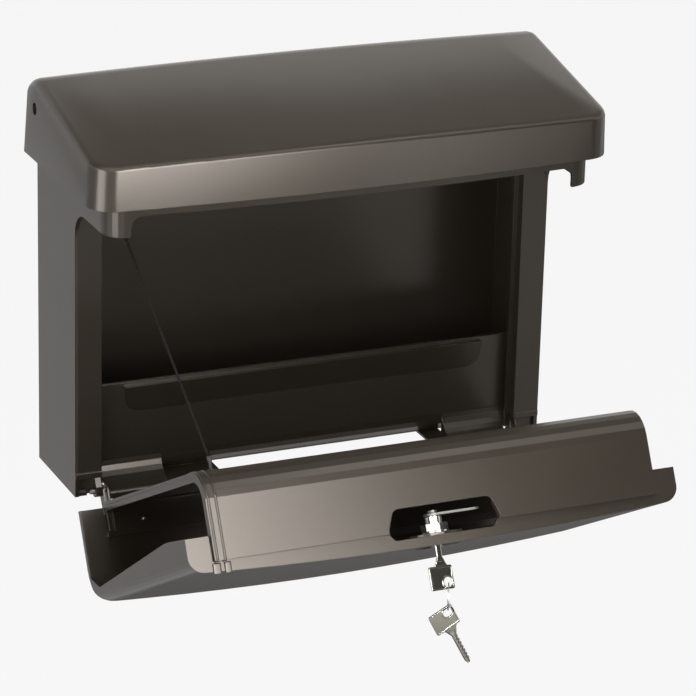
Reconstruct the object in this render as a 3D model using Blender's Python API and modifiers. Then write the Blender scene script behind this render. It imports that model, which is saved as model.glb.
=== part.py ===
"""Wall mailbox with a hinged rain lid, a drop-down door with a newspaper tunnel, and a cam lock.

The model is built closed, in metres, with X to the right, Y back to the wall face at zero and Z up
from the housing's lower edge. The door then hangs open on its hinge, and the whole model moves down
so that the centre of the four wall holes is the origin.
"""
import math

import bmesh
import bpy
from mathutils import Matrix, Vector

# Driving dimensions of the housing
HOUSING_HALF_WIDTH = 0.1874
HOUSING_DEPTH = 0.082
HOUSING_TOP = 0.262
WALL = 0.003
GAP = 0.0003
WALL_HOLE_X = 0.130
WALL_HOLE_LOW = 0.032
WALL_HOLE_BELOW_TOP = 0.040
WALL_HOLE_HIGH = HOUSING_TOP - WALL_HOLE_BELOW_TOP
WALL_HOLE_RADIUS = 0.003
LOW_WALL_DEPTH = 0.0655
STRIP_WIDTH = 0.0204
STRIP_INNER = HOUSING_HALF_WIDTH - STRIP_WIDTH
STRIP_BOTTOM = 0.014
APRON_END = 0.0254
APRON_LENGTH = 0.0475
APRON_OUTER = HOUSING_HALF_WIDTH - APRON_END
APRON_INNER = APRON_OUTER - APRON_LENGTH

# Driving dimensions of the door, closed
DOOR_SIDE_STEP = 0.0014
DOOR_HALF_WIDTH = HOUSING_HALF_WIDTH - DOOR_SIDE_STEP
DOOR_WALL = 0.0026
DOOR_BELLY = -0.1686
DOOR_BELLY_Z = 0.045
DOOR_BOTTOM = -0.0007
DOOR_LEAN = 0.0041
DOOR_FRONT = DOOR_BELLY + DOOR_LEAN
DOOR_REAR_CLEAR = 0.012
DOOR_REAR = -HOUSING_DEPTH - DOOR_REAR_CLEAR
DOOR_OPEN_ANGLE = math.radians(62.2)
LEDGE_DEPTH = 0.0115
DOOR_SEAM = DOOR_FRONT + LEDGE_DEPTH
TUNNEL_INSET = 0.018
INNER_HALF_WIDTH = DOOR_HALF_WIDTH - TUNNEL_INSET
INNER_CLEAR = 0.008
INNER_REAR = -HOUSING_DEPTH - INNER_CLEAR
INNER_BOTTOM = 0.0022

# Driving dimensions of the arms, the header and the lid
HEADER_STEP = 0.004
HEADER_FRONT = DOOR_FRONT + HEADER_STEP
HEADER_HEIGHT = 0.025
HEADER_BOTTOM = HOUSING_TOP - HEADER_HEIGHT
FOOT_HEIGHT = 0.040
FOOT_BOTTOM = HOUSING_TOP - FOOT_HEIGHT
FOOT_WIDTH = 0.0169
FOOT_INNER = HOUSING_HALF_WIDTH - FOOT_WIDTH
BOW = 0.0085
DOOR_TOP_CLEAR = 0.0005
DOOR_TOP = FOOT_BOTTOM - DOOR_TOP_CLEAR
LID_SIDE_STEP = 0.0126
LID_HALF_WIDTH = HOUSING_HALF_WIDTH + LID_SIDE_STEP
LID_WALL = 0.0025
LID_OVERLAP = 0.018
LID_BOTTOM = HOUSING_TOP - LID_OVERLAP
LID_FRONT_STEP = 0.0068
LID_FRONT = HEADER_FRONT - LID_FRONT_STEP
LID_EDGE_RISE = 0.0098
LID_FRONT_EDGE = HOUSING_TOP + LID_EDGE_RISE
LID_BACK_RADIUS = 0.0215
LID_AXIS_Y = -0.029
LID_AXIS_RISE = 0.020
LID_AXIS_Z = HOUSING_TOP + LID_AXIS_RISE
LID_REAR = LID_AXIS_Y + LID_BACK_RADIUS
LID_TOP = LID_AXIS_Z + LID_BACK_RADIUS
LID_PIN_RADIUS = 0.0045
LID_PIN_CLEAR = 0.00008

# Driving dimensions of the door's hinge
DOOR_AXIS_STEP = 0.001
DOOR_AXIS_Y = -HOUSING_DEPTH + DOOR_AXIS_STEP
DOOR_AXIS_Z = 0.0025
HINGE_PIN_RADIUS = 0.0020
HINGE_PIN_CLEAR = 0.00008
HINGE_RADIUS = 0.0045
HINGE_ROUND = 0.0044
KNUCKLE_LENGTH = 0.0045
KNUCKLE_SIDE = 0.0194
KNUCKLE_INNER = HOUSING_HALF_WIDTH - KNUCKLE_SIDE
KNUCKLE_OUTER = KNUCKLE_INNER + KNUCKLE_LENGTH
PIN_DEPTH = 0.008
LUG = 0.0016
LUG_CLEAR = 0.0006
LUG_SPACE = 0.0018
LUG_OUTER = KNUCKLE_INNER - LUG_CLEAR
LUG_INNER = LUG_OUTER - LUG * 2 - LUG_SPACE

# Driving dimensions of the lock, its keys and the ring
LOCK_X = 0.003
LOCK_BELOW_TOP = 0.0165
LOCK_Z = DOOR_TOP - LOCK_BELOW_TOP
LOCK_RECESS = 0.0063
LOCK_FLOOR = DOOR_FRONT + LOCK_RECESS
LOCK_BARREL = 0.0060
PLUG_RADIUS = 0.00422
PLUG_CLEAR = 0.00008
KEY_THICKNESS = 0.0014
KEY_HOLE_SIDE = 0.0036
KEY_HOLE_X = LOCK_X + KEY_HOLE_SIDE
KEY_HOLE_AHEAD = 0.0324
KEY_HOLE_Y = LOCK_FLOOR - KEY_HOLE_AHEAD
KEY_HOLE_RADIUS = 0.0037
RING_RADIUS = 0.0094
RING_WIRE = 0.0007
RING_TURN = math.radians(66)
KEY_SLACK = 0.0013
SPARE_SLACK = 0.0004

# Screws that join the door's skins
SCREW_SHARES = (-0.83, -0.3, 0.3, 0.83)
SCREW_AHEAD = 0.012
SCREW_Y = DOOR_REAR - SCREW_AHEAD

# Check cord, from the housing's lower edge; its route is chosen by hand
CORD_RADIUS = 0.0010
CORD_HEAD_DEPTH = 0.0036
CORD_TOP_SIDE = 0.0174
CORD_FOOT_SIDE = 0.0374
CORD_TOP = (CORD_TOP_SIDE - HOUSING_HALF_WIDTH, -0.1180, 0.2300)
CORD_FOOT = (CORD_FOOT_SIDE - HOUSING_HALF_WIDTH, -0.2520, 0.0920)

# Fineness of round shapes, and the thinnest slice that counts as one plane
ARC_STEP = math.radians(15)
ROUND_SIDES = 24
NUT_SIDES = 6
BOW_STEPS = 12
LID_STEPS = 10
RIM_STEPS = 3
TINY = 0.000001
BEYOND = 0.010

PARTS = None
CUTTERS = None


def clear_scene():
    """Remove every object, so that the script starts from an empty scene."""
    for obj in list(bpy.data.objects):
        bpy.data.objects.remove(obj, do_unlink=True)


def new_collection(name):
    """Return a new collection linked to the scene."""
    collection = bpy.data.collections.new(name)
    bpy.context.scene.collection.children.link(collection)
    return collection


def make_material(name, colour, roughness, metallic):
    """Return a Principled BSDF material."""
    material = bpy.data.materials.new(name)
    material.use_nodes = True
    shader = material.node_tree.nodes["Principled BSDF"]
    shader.inputs["Base Color"].default_value = (*colour, 1)
    shader.inputs["Roughness"].default_value = roughness
    shader.inputs["Metallic"].default_value = metallic
    return material


def bronze_plastic():
    """Satin metallic bronze moulding plastic."""
    return make_material("bronze_plastic", (0.075, 0.066, 0.058), 0.38, 0.35)


def chrome():
    """Bright plated metal of the lock, the keys and the ring."""
    return make_material("chrome", (0.62, 0.62, 0.60), 0.18, 1)


def zinc_steel():
    """Duller plated steel of the cam, pins and screws."""
    return make_material("zinc_steel", (0.38, 0.38, 0.37), 0.4, 1)


def black_plastic():
    """Black moulded plastic of the lid's pins and the cord's posts."""
    return make_material("black_plastic", (0.02, 0.02, 0.02), 0.5, 0)


def black_cord():
    """Black braided cord."""
    return make_material("black_cord", (0.012, 0.012, 0.012), 0.85, 0)


def rounded(corners):
    """Return outline points: a corner (x, y, radius) becomes an arc, a corner (x, y) stays sharp."""
    points = []
    for index, corner in enumerate(corners):
        here = Vector(corner[:2])
        radius = corner[2] if len(corner) > 2 else 0
        if radius == 0:
            points.append(here)
            continue
        to_before = (Vector(corners[index - 1][:2]) - here).normalized()
        to_after = (Vector(corners[(index + 1) % len(corners)][:2]) - here).normalized()
        half = to_before.angle(to_after) / 2
        centre = here + (to_before + to_after).normalized() * (radius / math.sin(half))
        first = here + to_before * (radius / math.tan(half)) - centre
        last = here + to_after * (radius / math.tan(half)) - centre
        start = math.atan2(first.y, first.x)
        sweep = (math.atan2(last.y, last.x) - start + math.pi) % math.tau - math.pi
        count = max(2, math.ceil(abs(sweep) / ARC_STEP))
        for step in range(count + 1):
            angle = start + sweep * step / count
            points.append(centre + Vector((math.cos(angle), math.sin(angle))) * radius)
    return points


def circle(x, y, radius):
    """Return the points of a circle."""
    angles = [math.tau * step / ROUND_SIDES for step in range(ROUND_SIDES)]
    return [Vector((x + radius * math.cos(a), y + radius * math.sin(a))) for a in angles]


def band(points, thickness):
    """Return the closed outline of a strip whose one side is the given open line."""
    other = []
    for index, point in enumerate(points):
        before = points[max(index - 1, 0)]
        after = points[min(index + 1, len(points) - 1)]
        into = (point - before).normalized() if index else (after - point).normalized()
        out = (after - point).normalized() if index < len(points) - 1 else into
        normal = Vector((-into.y - out.y, into.x + out.x)).normalized()
        stretch = normal.dot(Vector((-into.y, into.x)))
        other.append(point + normal * (thickness / stretch))
    return list(points) + other[::-1]


def open_line(corners):
    """Return a rounded open line; the first and last corners stay sharp."""
    return rounded([(*corners[0][:2],)] + list(corners[1:-1]) + [(*corners[-1][:2],)])


AXES = {
    "X": Matrix(((0, 0, 1, 0), (1, 0, 0, 0), (0, 1, 0, 0), (0, 0, 0, 1))),
    "Y": Matrix(((1, 0, 0, 0), (0, 0, -1, 0), (0, 1, 0, 0), (0, 0, 0, 1))),
    "Z": Matrix.Identity(4),
}


def take(obj, collection):
    """Move an object into one collection."""
    for old in list(obj.users_collection):
        old.objects.unlink(obj)
    collection.objects.link(obj)
    return obj


def mesh_of(obj, name):
    """Turn an object with its modifiers into a plain mesh object placed in the world."""
    bpy.context.view_layer.update()
    graph = bpy.context.evaluated_depsgraph_get()
    mesh = bpy.data.meshes.new_from_object(obj.evaluated_get(graph))
    mesh.transform(obj.matrix_world)
    shape = bmesh.new()
    shape.from_mesh(mesh)
    bmesh.ops.remove_doubles(shape, verts=shape.verts, dist=TINY)
    bmesh.ops.recalc_face_normals(shape, faces=shape.faces)
    shape.to_mesh(mesh)
    shape.free()
    mesh.name = name
    bpy.data.objects.remove(obj, do_unlink=True)
    return take_new(name, mesh)


def take_new(name, mesh):
    """Return a new object of a mesh in the collection of parts."""
    obj = bpy.data.objects.new(name, mesh)
    PARTS.objects.link(obj)
    return obj


def prism(name, axis, outlines, low, high):
    """Extrude flat outlines along an axis: X draws them in YZ, Y in XZ and Z in XY."""
    curve = bpy.data.curves.new(name, "CURVE")
    curve.dimensions = "2D"
    curve.fill_mode = "BOTH"
    curve.extrude = abs(high - low) / 2
    for points in outlines:
        spline = curve.splines.new("POLY")
        spline.points.add(len(points) - 1)
        for target, point in zip(spline.points, points):
            target.co = (point[0], point[1], 0, 1)
        spline.use_cyclic_u = True
    obj = bpy.data.objects.new(name, curve)
    PARTS.objects.link(obj)
    along = {"X": (1, 0, 0), "Y": (0, 1, 0), "Z": (0, 0, 1)}[axis]
    obj.matrix_world = Matrix.Translation(Vector(along) * ((low + high) / 2)) @ AXES[axis]
    return mesh_of(obj, name)


def block(name, low, high):
    """Return a box between two corners."""
    size = Vector(high) - Vector(low)
    mesh = bpy.data.meshes.new(name)
    shape = bmesh.new()
    bmesh.ops.create_cube(shape, size=1)
    bmesh.ops.scale(shape, vec=size, verts=shape.verts)
    bmesh.ops.translate(shape, vec=(Vector(high) + Vector(low)) / 2, verts=shape.verts)
    shape.to_mesh(mesh)
    shape.free()
    return take_new(name, mesh)


def rod(name, axis, centre, radius, low, high, sides=ROUND_SIDES):
    """Return a cylinder along an axis; centre gives the two other coordinates, in X, Y, Z order."""
    mesh = bpy.data.meshes.new(name)
    shape = bmesh.new()
    bmesh.ops.create_cone(shape, cap_ends=True, segments=sides, radius1=radius, radius2=radius,
                          depth=abs(high - low))
    turn = {"X": Matrix.Rotation(math.pi / 2, 3, "Y"), "Y": Matrix.Rotation(math.pi / 2, 3, "X"),
            "Z": Matrix.Identity(3)}[axis]
    middle = (low + high) / 2
    place = {"X": (middle, *centre), "Y": (centre[0], middle, centre[1]), "Z": (*centre, middle)}[axis]
    bmesh.ops.rotate(shape, matrix=turn, verts=shape.verts)
    bmesh.ops.translate(shape, vec=place, verts=shape.verts)
    shape.to_mesh(mesh)
    shape.free()
    return take_new(name, mesh)


def turned(name, profile, axis, place):
    """Turn a profile of (radius, height) points about an axis, from its top outer end downward."""
    mesh = bpy.data.meshes.new(name)
    edges = [(index, index + 1) for index in range(len(profile) - 1)]
    mesh.from_pydata([(radius, 0, height) for radius, height in profile], edges, [])
    obj = take_new(name, mesh)
    screw = obj.modifiers.new("turn", "SCREW")
    screw.steps = ROUND_SIDES
    screw.render_steps = ROUND_SIDES
    screw.use_merge_vertices = True
    screw.merge_threshold = TINY
    turn = {"X": Matrix.Rotation(math.pi / 2, 4, "Y"), "-X": Matrix.Rotation(-math.pi / 2, 4, "Y"),
            "-Y": Matrix.Rotation(math.pi / 2, 4, "X"), "Y": Matrix.Rotation(-math.pi / 2, 4, "X"),
            "-Z": Matrix.Rotation(math.pi, 4, "X"), "Z": Matrix.Identity(4)}[axis]
    obj.matrix_world = Matrix.Translation(place) @ turn
    return mesh_of(obj, name)


def round_rim(obj, axis, place, width, segments):
    """Round the edges around the flat end that a prism has at a place along an axis."""
    index = "XYZ".index(axis)
    shape = bmesh.new()
    shape.from_mesh(obj.data)
    flat = [face for face in shape.faces
            if all(abs(vertex.co[index] - place) < TINY for vertex in face.verts)]
    end = bmesh.ops.dissolve_faces(shape, faces=flat)["region"][0]
    bmesh.ops.bevel(shape, geom=end.edges[:], offset=width, offset_type="OFFSET", segments=segments,
                    profile=0.5, affect="EDGES", clamp_overlap=False)
    shape.to_mesh(obj.data)
    shape.free()
    return obj


def combine(obj, others, operation):
    """Join or cut an object with others, which leave the collection of parts."""
    for other in others:
        take(other, CUTTERS)
        other.hide_render = True
        other.display_type = "WIRE"
        modifier = obj.modifiers.new(operation.lower(), "BOOLEAN")
        modifier.operation = operation
        modifier.object = other
        modifier.solver = "EXACT"
        obj = mesh_of(obj, obj.name)
        bpy.data.objects.remove(other, do_unlink=True)
    return obj


def union(obj, others):
    """Join others to an object."""
    return combine(obj, others, "UNION")


def cut(obj, others):
    """Cut others out of an object."""
    return combine(obj, others, "DIFFERENCE")


def mirrored(obj):
    """Return a mirror image of an object across the middle plane."""
    mesh = obj.data.copy()
    mesh.transform(Matrix.Scale(-1, 4, (1, 0, 0)))
    mesh.flip_normals()
    return take_new(obj.name + "_mirror", mesh)


def both_sides(pieces):
    """Return pieces with their mirror images."""
    return [copy for piece in pieces for copy in (piece, mirrored(piece))]


def slice_mesh(obj, axis, places):
    """Cut new edges across a mesh at places along an axis, so that it can bend there."""
    normal = {"X": (1, 0, 0), "Y": (0, 1, 0), "Z": (0, 0, 1)}[axis]
    shape = bmesh.new()
    shape.from_mesh(obj.data)
    for place in places:
        everything = shape.verts[:] + shape.edges[:] + shape.faces[:]
        bmesh.ops.bisect_plane(shape, geom=everything, plane_co=Vector(normal) * place,
                               plane_no=normal, dist=TINY)
    shape.to_mesh(obj.data)
    shape.free()
    return obj


def evenly(low, high, count):
    """Return the inner places that split a length into equal steps."""
    return [low + (high - low) * step / count for step in range(1, count)]


def reshape(obj, rule):
    """Move every point of a mesh by a rule from its old place to its new one."""
    for vertex in obj.data.vertices:
        vertex.co = rule(vertex.co.copy())
    return obj


def finish(obj, material, sharp=math.radians(35)):
    """Give a piece its material and smooth its round faces."""
    obj.data.materials.clear()
    obj.data.materials.append(material)
    obj.data.shade_smooth()
    obj.data.set_sharp_from_angle(angle=sharp)
    return obj


def bow_at(x):
    """Return how far the bowed front steps back at a place across the width."""
    return BOW * (x / DOOR_HALF_WIDTH) ** 2


# Housing

def shell_ring():
    """Side walls, arms and bowed header as one band in plan, cut to its outline from the side."""
    corner = 0.017
    half = HOUSING_HALF_WIDTH
    front = [(x, HEADER_FRONT + bow_at(x)) for x in evenly(-half, half, BOW_STEPS)]
    line = open_line([(-half, -GAP), (-half, HEADER_FRONT + BOW, corner)] + front
                     + [(half, HEADER_FRONT + BOW, corner), (half, -GAP)])
    above = LID_TOP + BEYOND
    ring = prism("shell_ring", "Z", [band(line, WALL)], 0, above)
    ahead = LID_FRONT - BEYOND
    arch_radius = 0.020
    arch = [(-HOUSING_DEPTH + GAP, -BEYOND), (-HOUSING_DEPTH + GAP, FOOT_BOTTOM, arch_radius),
            (ahead, FOOT_BOTTOM), (ahead, -BEYOND)]
    cutters = [prism("under_arms", "X", [rounded(arch)], -half - BEYOND, half + BEYOND),
               prism("over_arms", "X", [over_arms()], -half - BEYOND, half + BEYOND), lip_opening()]
    return cut(ring, cutters)


def over_arms():
    """Outline above the arms: it leaves an ear round each lid pin, narrow below for the lid's swing."""
    ear_radius = 0.016
    ear_round = 0.0157
    neck = 0.009
    neck_fillet = 0.0015
    neck_height = 0.014
    ear_foot = 0.020
    top = LID_AXIS_Z + ear_radius
    ahead = LID_FRONT - BEYOND
    above = LID_TOP + BEYOND * 2
    return rounded([
        (BEYOND, HOUSING_TOP), (LID_AXIS_Y + neck, HOUSING_TOP, neck_fillet),
        (LID_AXIS_Y + ear_radius, HOUSING_TOP + neck_height, neck_fillet),
        (LID_AXIS_Y + ear_radius, top, ear_round), (LID_AXIS_Y - ear_radius, top, ear_round),
        (LID_AXIS_Y - ear_radius - ear_foot, HOUSING_TOP, ear_foot),
        (ahead, HOUSING_TOP), (ahead, above), (BEYOND, above)])


def lip_opening():
    """Cutter for the raised middle of the header between the two feet."""
    lip_fillet = 0.008
    inner = FOOT_INNER
    outline = rounded([
        (-inner, FOOT_BOTTOM - BEYOND), (inner, FOOT_BOTTOM - BEYOND),
        (inner, HEADER_BOTTOM, lip_fillet), (-inner, HEADER_BOTTOM, lip_fillet)])
    return prism("lip_opening", "Y", [outline], HEADER_FRONT - BEYOND, HEADER_FRONT + BOW + BEYOND)


def lid_rests():
    """Ribs on the header that the closed lid rests on."""
    from_side = 0.0674
    rib_x = HOUSING_HALF_WIDTH - from_side
    rib_half = 0.0015
    rib_depth = 0.012
    sink = 0.004
    rest_drop = 0.0023
    rest_height = LID_FRONT_EDGE - rest_drop
    front = HEADER_FRONT + bow_at(rib_x)
    rib = block("lid_rest", (rib_x - rib_half, front + WALL / 2, HOUSING_TOP - sink),
                (rib_x + rib_half, front + WALL + rib_depth, rest_height))
    return both_sides([rib])


def strike():
    """Block behind the header that the turned cam catches on."""
    half = 0.016
    depth = 0.0115
    height = 0.016
    low = (LOCK_X - half, HEADER_FRONT + WALL / 2, HEADER_BOTTOM + GAP)
    high = (LOCK_X + half, HEADER_FRONT + WALL + depth, HEADER_BOTTOM + height)
    return [block("strike", low, high)]


def back_panel():
    """Back panel with the four wall holes."""
    holes = [circle(side * WALL_HOLE_X, height, WALL_HOLE_RADIUS)
             for side in (-1, 1) for height in (WALL_HOLE_LOW, WALL_HOLE_HIGH)]
    half = HOUSING_HALF_WIDTH - WALL / 2
    top = HOUSING_TOP - GAP
    sheet = [(-half, 0), (half, 0), (half, top), (-half, top)]
    return prism("housing", "Y", [sheet] + holes, -WALL, 0)


def low_wall():
    """Floor that curves up into the low wall in front of the mail."""
    height = 0.078
    corner = 0.0195
    line = open_line([(-WALL / 2, 0), (-LOW_WALL_DEPTH, 0, corner), (-LOW_WALL_DEPTH, height)])
    half = HOUSING_HALF_WIDTH - WALL / 2
    return [prism("low_wall", "X", [band(line[::-1], WALL)], -half, half)]


def wall_tab():
    """Raised tab on the low wall, thick at its upper edge."""
    sink = 0.0015
    upper_depth = 0.0039
    lower_depth = 0.0008
    top = 0.0757
    bottom = 0.0553
    from_side = 0.0436
    end_slant = 0.0015
    corner = 0.011
    root = -LOW_WALL_DEPTH + sink
    upper = -LOW_WALL_DEPTH - upper_depth
    lower = -LOW_WALL_DEPTH - lower_depth
    top_half = HOUSING_HALF_WIDTH - from_side
    bottom_half = top_half - end_slant
    wedge = prism("wall_tab", "X", [[(root, top), (upper, top), (lower, bottom), (root, bottom)]],
                  -top_half, top_half)
    outline = prism("tab_outline", "Y", [rounded([
        (-top_half, top), (-bottom_half, bottom, corner), (bottom_half, bottom, corner),
        (top_half, top)])], upper, root + WALL)
    return [combine(wedge, [outline], "INTERSECT")]


def front_frame():
    """Front strips, their return walls and the thin ribs at the sides of the mail opening."""
    recess_step = 0.0015
    return_depth = 0.022
    rib_step = 0.003
    rib_setback = 0.009
    rib_thickness = 0.002
    rib_bottom = 0.004
    lip_reach = 0.0009
    lip_height = 0.0045
    lip_round = 0.0008
    top = HOUSING_TOP - WALL
    rib_front = -HOUSING_DEPTH + rib_setback
    strip = block("strip", (STRIP_INNER, -HOUSING_DEPTH, STRIP_BOTTOM),
                  (HOUSING_HALF_WIDTH - WALL / 2, -HOUSING_DEPTH + WALL, top))
    turned_in = block("turned_in",
                      (STRIP_INNER, -HOUSING_DEPTH + WALL / 2, STRIP_BOTTOM + recess_step),
                      (STRIP_INNER + WALL, -HOUSING_DEPTH + return_depth, top))
    rib = block("rib", (STRIP_INNER - rib_step, rib_front, rib_bottom),
                (STRIP_INNER + WALL / 2, rib_front + rib_thickness, top))
    lip_front = -HOUSING_DEPTH - lip_reach
    lip_rear = -HOUSING_DEPTH + lip_reach
    lip_bottom = STRIP_BOTTOM - lip_reach / 2
    lip_top = STRIP_BOTTOM + lip_height
    lip = prism("lip", "X", [rounded([
        (lip_front, lip_bottom, lip_round), (lip_front, lip_top, lip_round), (lip_rear, lip_top),
        (lip_rear, lip_bottom)])], STRIP_INNER + GAP, HOUSING_HALF_WIDTH - GAP)
    return both_sides([strip, turned_in, rib, lip])


def aprons():
    """Coved aprons under the low wall, outside the middle stretch, with a lip and a rib at one end."""
    sink = 0.0005
    bulge = 0.0004
    cove_top = 0.028
    cove = 0.016
    low_z = 0.0035
    reach = 0.022
    lip_drop = 0.0065
    lip_slant = 0.0008
    lip_round = 0.0027
    sheet = 0.002
    rib_width = 0.0016
    rib_low = 0.0005
    end_reach = 0.010
    end_step = Vector((0.0002, -0.0002))
    rib_sink = 0.0018
    rib_inset = 0.0002
    lap = 0.001
    high_y = -LOW_WALL_DEPTH + sink
    rib_rear = -LOW_WALL_DEPTH + rib_sink
    cove_y = -LOW_WALL_DEPTH - bulge
    front = -LOW_WALL_DEPTH - reach
    line = open_line([(high_y, cove_top), (cove_y, low_z, cove), (front, low_z, lip_round),
                      (front + lip_slant, low_z - lip_drop)])
    beside_hinge = [point + end_step for point in line if point.x > -LOW_WALL_DEPTH - end_reach]
    pieces = [prism("apron", "X", [band(line, sheet)], APRON_INNER, APRON_OUTER),
              prism("apron_end", "X", [band(beside_hinge, sheet)], APRON_OUTER - lap, STRIP_INNER + lap)]
    under = open_line([(rib_rear, cove_top - sheet), (cove_y + sheet / 2, low_z - sheet / 2, cove + sheet / 2),
                       (front + sheet / 2, low_z - sheet / 2)])
    outline = under + [Vector((front + sheet / 2, rib_low)), Vector((rib_rear, rib_low))]
    rib_inner = APRON_INNER + rib_inset
    pieces.append(prism("apron_rib", "X", [outline], rib_inner, rib_inner + rib_width))
    return both_sides(pieces)


def corner_floors():
    """Floor beside the hinges, and the low flanges between the aprons and the drain slot."""
    corner_width = 0.0092
    rear_sink = 0.0155
    flange_length = 0.0293
    flange_lap = 0.0012
    slot_shift = 0.014
    flange_reach = 0.018
    flange_low = 0.0008
    flange_top = 0.0026
    rear = -LOW_WALL_DEPTH + rear_sink
    flange_front = -LOW_WALL_DEPTH - flange_reach
    flange_outer = APRON_INNER + flange_lap
    slot_half = APRON_INNER - flange_length
    corner = block("corner_floor", (HOUSING_HALF_WIDTH - corner_width, -HOUSING_DEPTH + GAP * 2, GAP),
                   (HOUSING_HALF_WIDTH - WALL / 2, rear, WALL - GAP))
    left = block("left_flange", (-flange_outer, flange_front, flange_low),
                 (slot_shift - slot_half, rear, flange_top))
    right = block("right_flange", (slot_shift + slot_half, flange_front, flange_low),
                  (flange_outer, rear, flange_top))
    return both_sides([corner]) + [left, right]


def knuckles():
    """Hinge knuckles of the door under the front strips, with webs and recessed corner blocks."""
    web_step = 0.0015
    web_height = 0.017
    web_reach = 0.0055
    lap = 0.002
    slope = 0.007
    recess = 0.0032
    block_depth = 0.009
    block_rise = 0.0007
    radius = HINGE_RADIUS
    low = DOOR_AXIS_Z - radius
    top = STRIP_BOTTOM + lap
    knuckle = prism("knuckle", "X", [rounded([
        (DOOR_AXIS_Y - radius, low, HINGE_ROUND), (DOOR_AXIS_Y + radius, low, HINGE_ROUND),
        (DOOR_AXIS_Y + radius, top), (-HOUSING_DEPTH + GAP, top),
        (-HOUSING_DEPTH + GAP, STRIP_BOTTOM), (DOOR_AXIS_Y - radius, STRIP_BOTTOM - slope)])],
        KNUCKLE_INNER, KNUCKLE_OUTER)
    rear = -LOW_WALL_DEPTH + web_reach
    web = prism("web", "X", [[
        (DOOR_AXIS_Y, low + GAP), (DOOR_AXIS_Y + radius, 0), (rear, 0), (rear, web_height),
        (DOOR_AXIS_Y + radius - GAP, web_height), (DOOR_AXIS_Y, DOOR_AXIS_Z + radius)]],
        KNUCKLE_INNER + web_step, KNUCKLE_OUTER - web_step)
    corner_block = block("corner_block",
                         (KNUCKLE_OUTER - GAP, -HOUSING_DEPTH + recess, GAP * 2),
                         (HOUSING_HALF_WIDTH - WALL / 2, -HOUSING_DEPTH + recess + block_depth,
                          top + block_rise))
    return both_sides([knuckle, web, corner_block])


def make_housing(material):
    """Housing moulded in one piece."""
    bore_depth = 0.030
    obj = union(back_panel(), [shell_ring()] + low_wall())
    obj = union(obj, front_frame() + wall_tab() + aprons() + corner_floors())
    obj = union(obj, knuckles() + strike() + lid_rests())
    outer = HOUSING_HALF_WIDTH
    lid_bore = rod("lid_bore", "X", (LID_AXIS_Y, LID_AXIS_Z), LID_PIN_RADIUS + LID_PIN_CLEAR,
                   outer - bore_depth, outer + bore_depth)
    hinge = rod("hinge_bore", "X", (DOOR_AXIS_Y, DOOR_AXIS_Z), HINGE_PIN_RADIUS + HINGE_PIN_CLEAR,
                KNUCKLE_INNER - LUG_CLEAR, KNUCKLE_INNER + PIN_DEPTH + GAP)
    obj = cut(obj, both_sides([lid_bore, hinge]))
    return finish(obj, material)


# Lid

def lid_height(x, y, drop):
    """Return the roof's height: round about the pins behind, sloping down in front, crowned across."""
    rear_crown = 0.0028
    front_crown = 0.0055
    slope = (LID_TOP - LID_FRONT_EDGE) / (LID_AXIS_Y - LID_FRONT)
    radius = LID_BACK_RADIUS - drop
    behind = min(y - LID_AXIS_Y, radius)
    steepness = math.atan(slope)
    if behind > -radius * math.sin(steepness):
        height = LID_AXIS_Z + math.sqrt(radius ** 2 - behind ** 2)
    else:
        height = LID_AXIS_Z + radius / math.cos(steepness) + behind * slope
    share = min(max(-behind / (LID_AXIS_Y - LID_FRONT), 0), 1)
    crown = rear_crown + (front_crown - rear_crown) * share
    fade = min(1, math.sqrt(max(radius - behind, 0) / radius))
    return height + crown * fade * (1 - (x / LID_HALF_WIDTH) ** 2)


def lid_solid(name, inset, floor, rounding):
    """Return the hood's solid, moved in by an inset on all sides but the bottom."""
    front_bow = 0.009
    front_corner = 0.020
    rear_corner = 0.006
    rear_slant = 0.006
    draft_share = 0.008
    half = LID_HALF_WIDTH - inset
    rear = LID_REAR - inset
    front = LID_FRONT + inset
    middle = [(x, front + front_bow * (x / LID_HALF_WIDTH) ** 2)
              for x in evenly(-half, half, LID_STEPS)]
    outline = rounded([(-half, rear, rear_corner), (-half, front + front_bow, front_corner - inset)]
                      + middle + [(half, front + front_bow, front_corner - inset),
                                  (half, rear, rear_corner)])
    obj = prism(name, "Z", [outline], floor, LID_TOP)
    obj = round_rim(obj, "Z", LID_TOP, rounding, RIM_STEPS)
    across = evenly(-half, half, LID_STEPS)
    turns = [math.radians(angle) for angle in (-12, 0, 15, 30, 42, 54, 66, 78)]
    along = [LID_AXIS_Y + (LID_BACK_RADIUS - inset) * math.sin(turn) for turn in turns]
    obj = slice_mesh(slice_mesh(obj, "X", across), "Y", along)

    def hood(point):
        share = (point.z - floor) / (LID_TOP - floor)
        height = floor + (lid_height(point.x, point.y, inset) - floor) * share
        draft = 1 - draft_share * (height - LID_BOTTOM) / (LID_TOP - LID_BOTTOM)
        below_axis = (LID_AXIS_Z - max(height, LID_BOTTOM)) / (LID_AXIS_Z - LID_BOTTOM)
        behind_axis = (point.y - LID_AXIS_Y) / LID_BACK_RADIUS
        slant = rear_slant * max(below_axis, 0) * max(behind_axis, 0)
        return Vector((point.x * draft, point.y + slant, height))

    return reshape(obj, hood)


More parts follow.
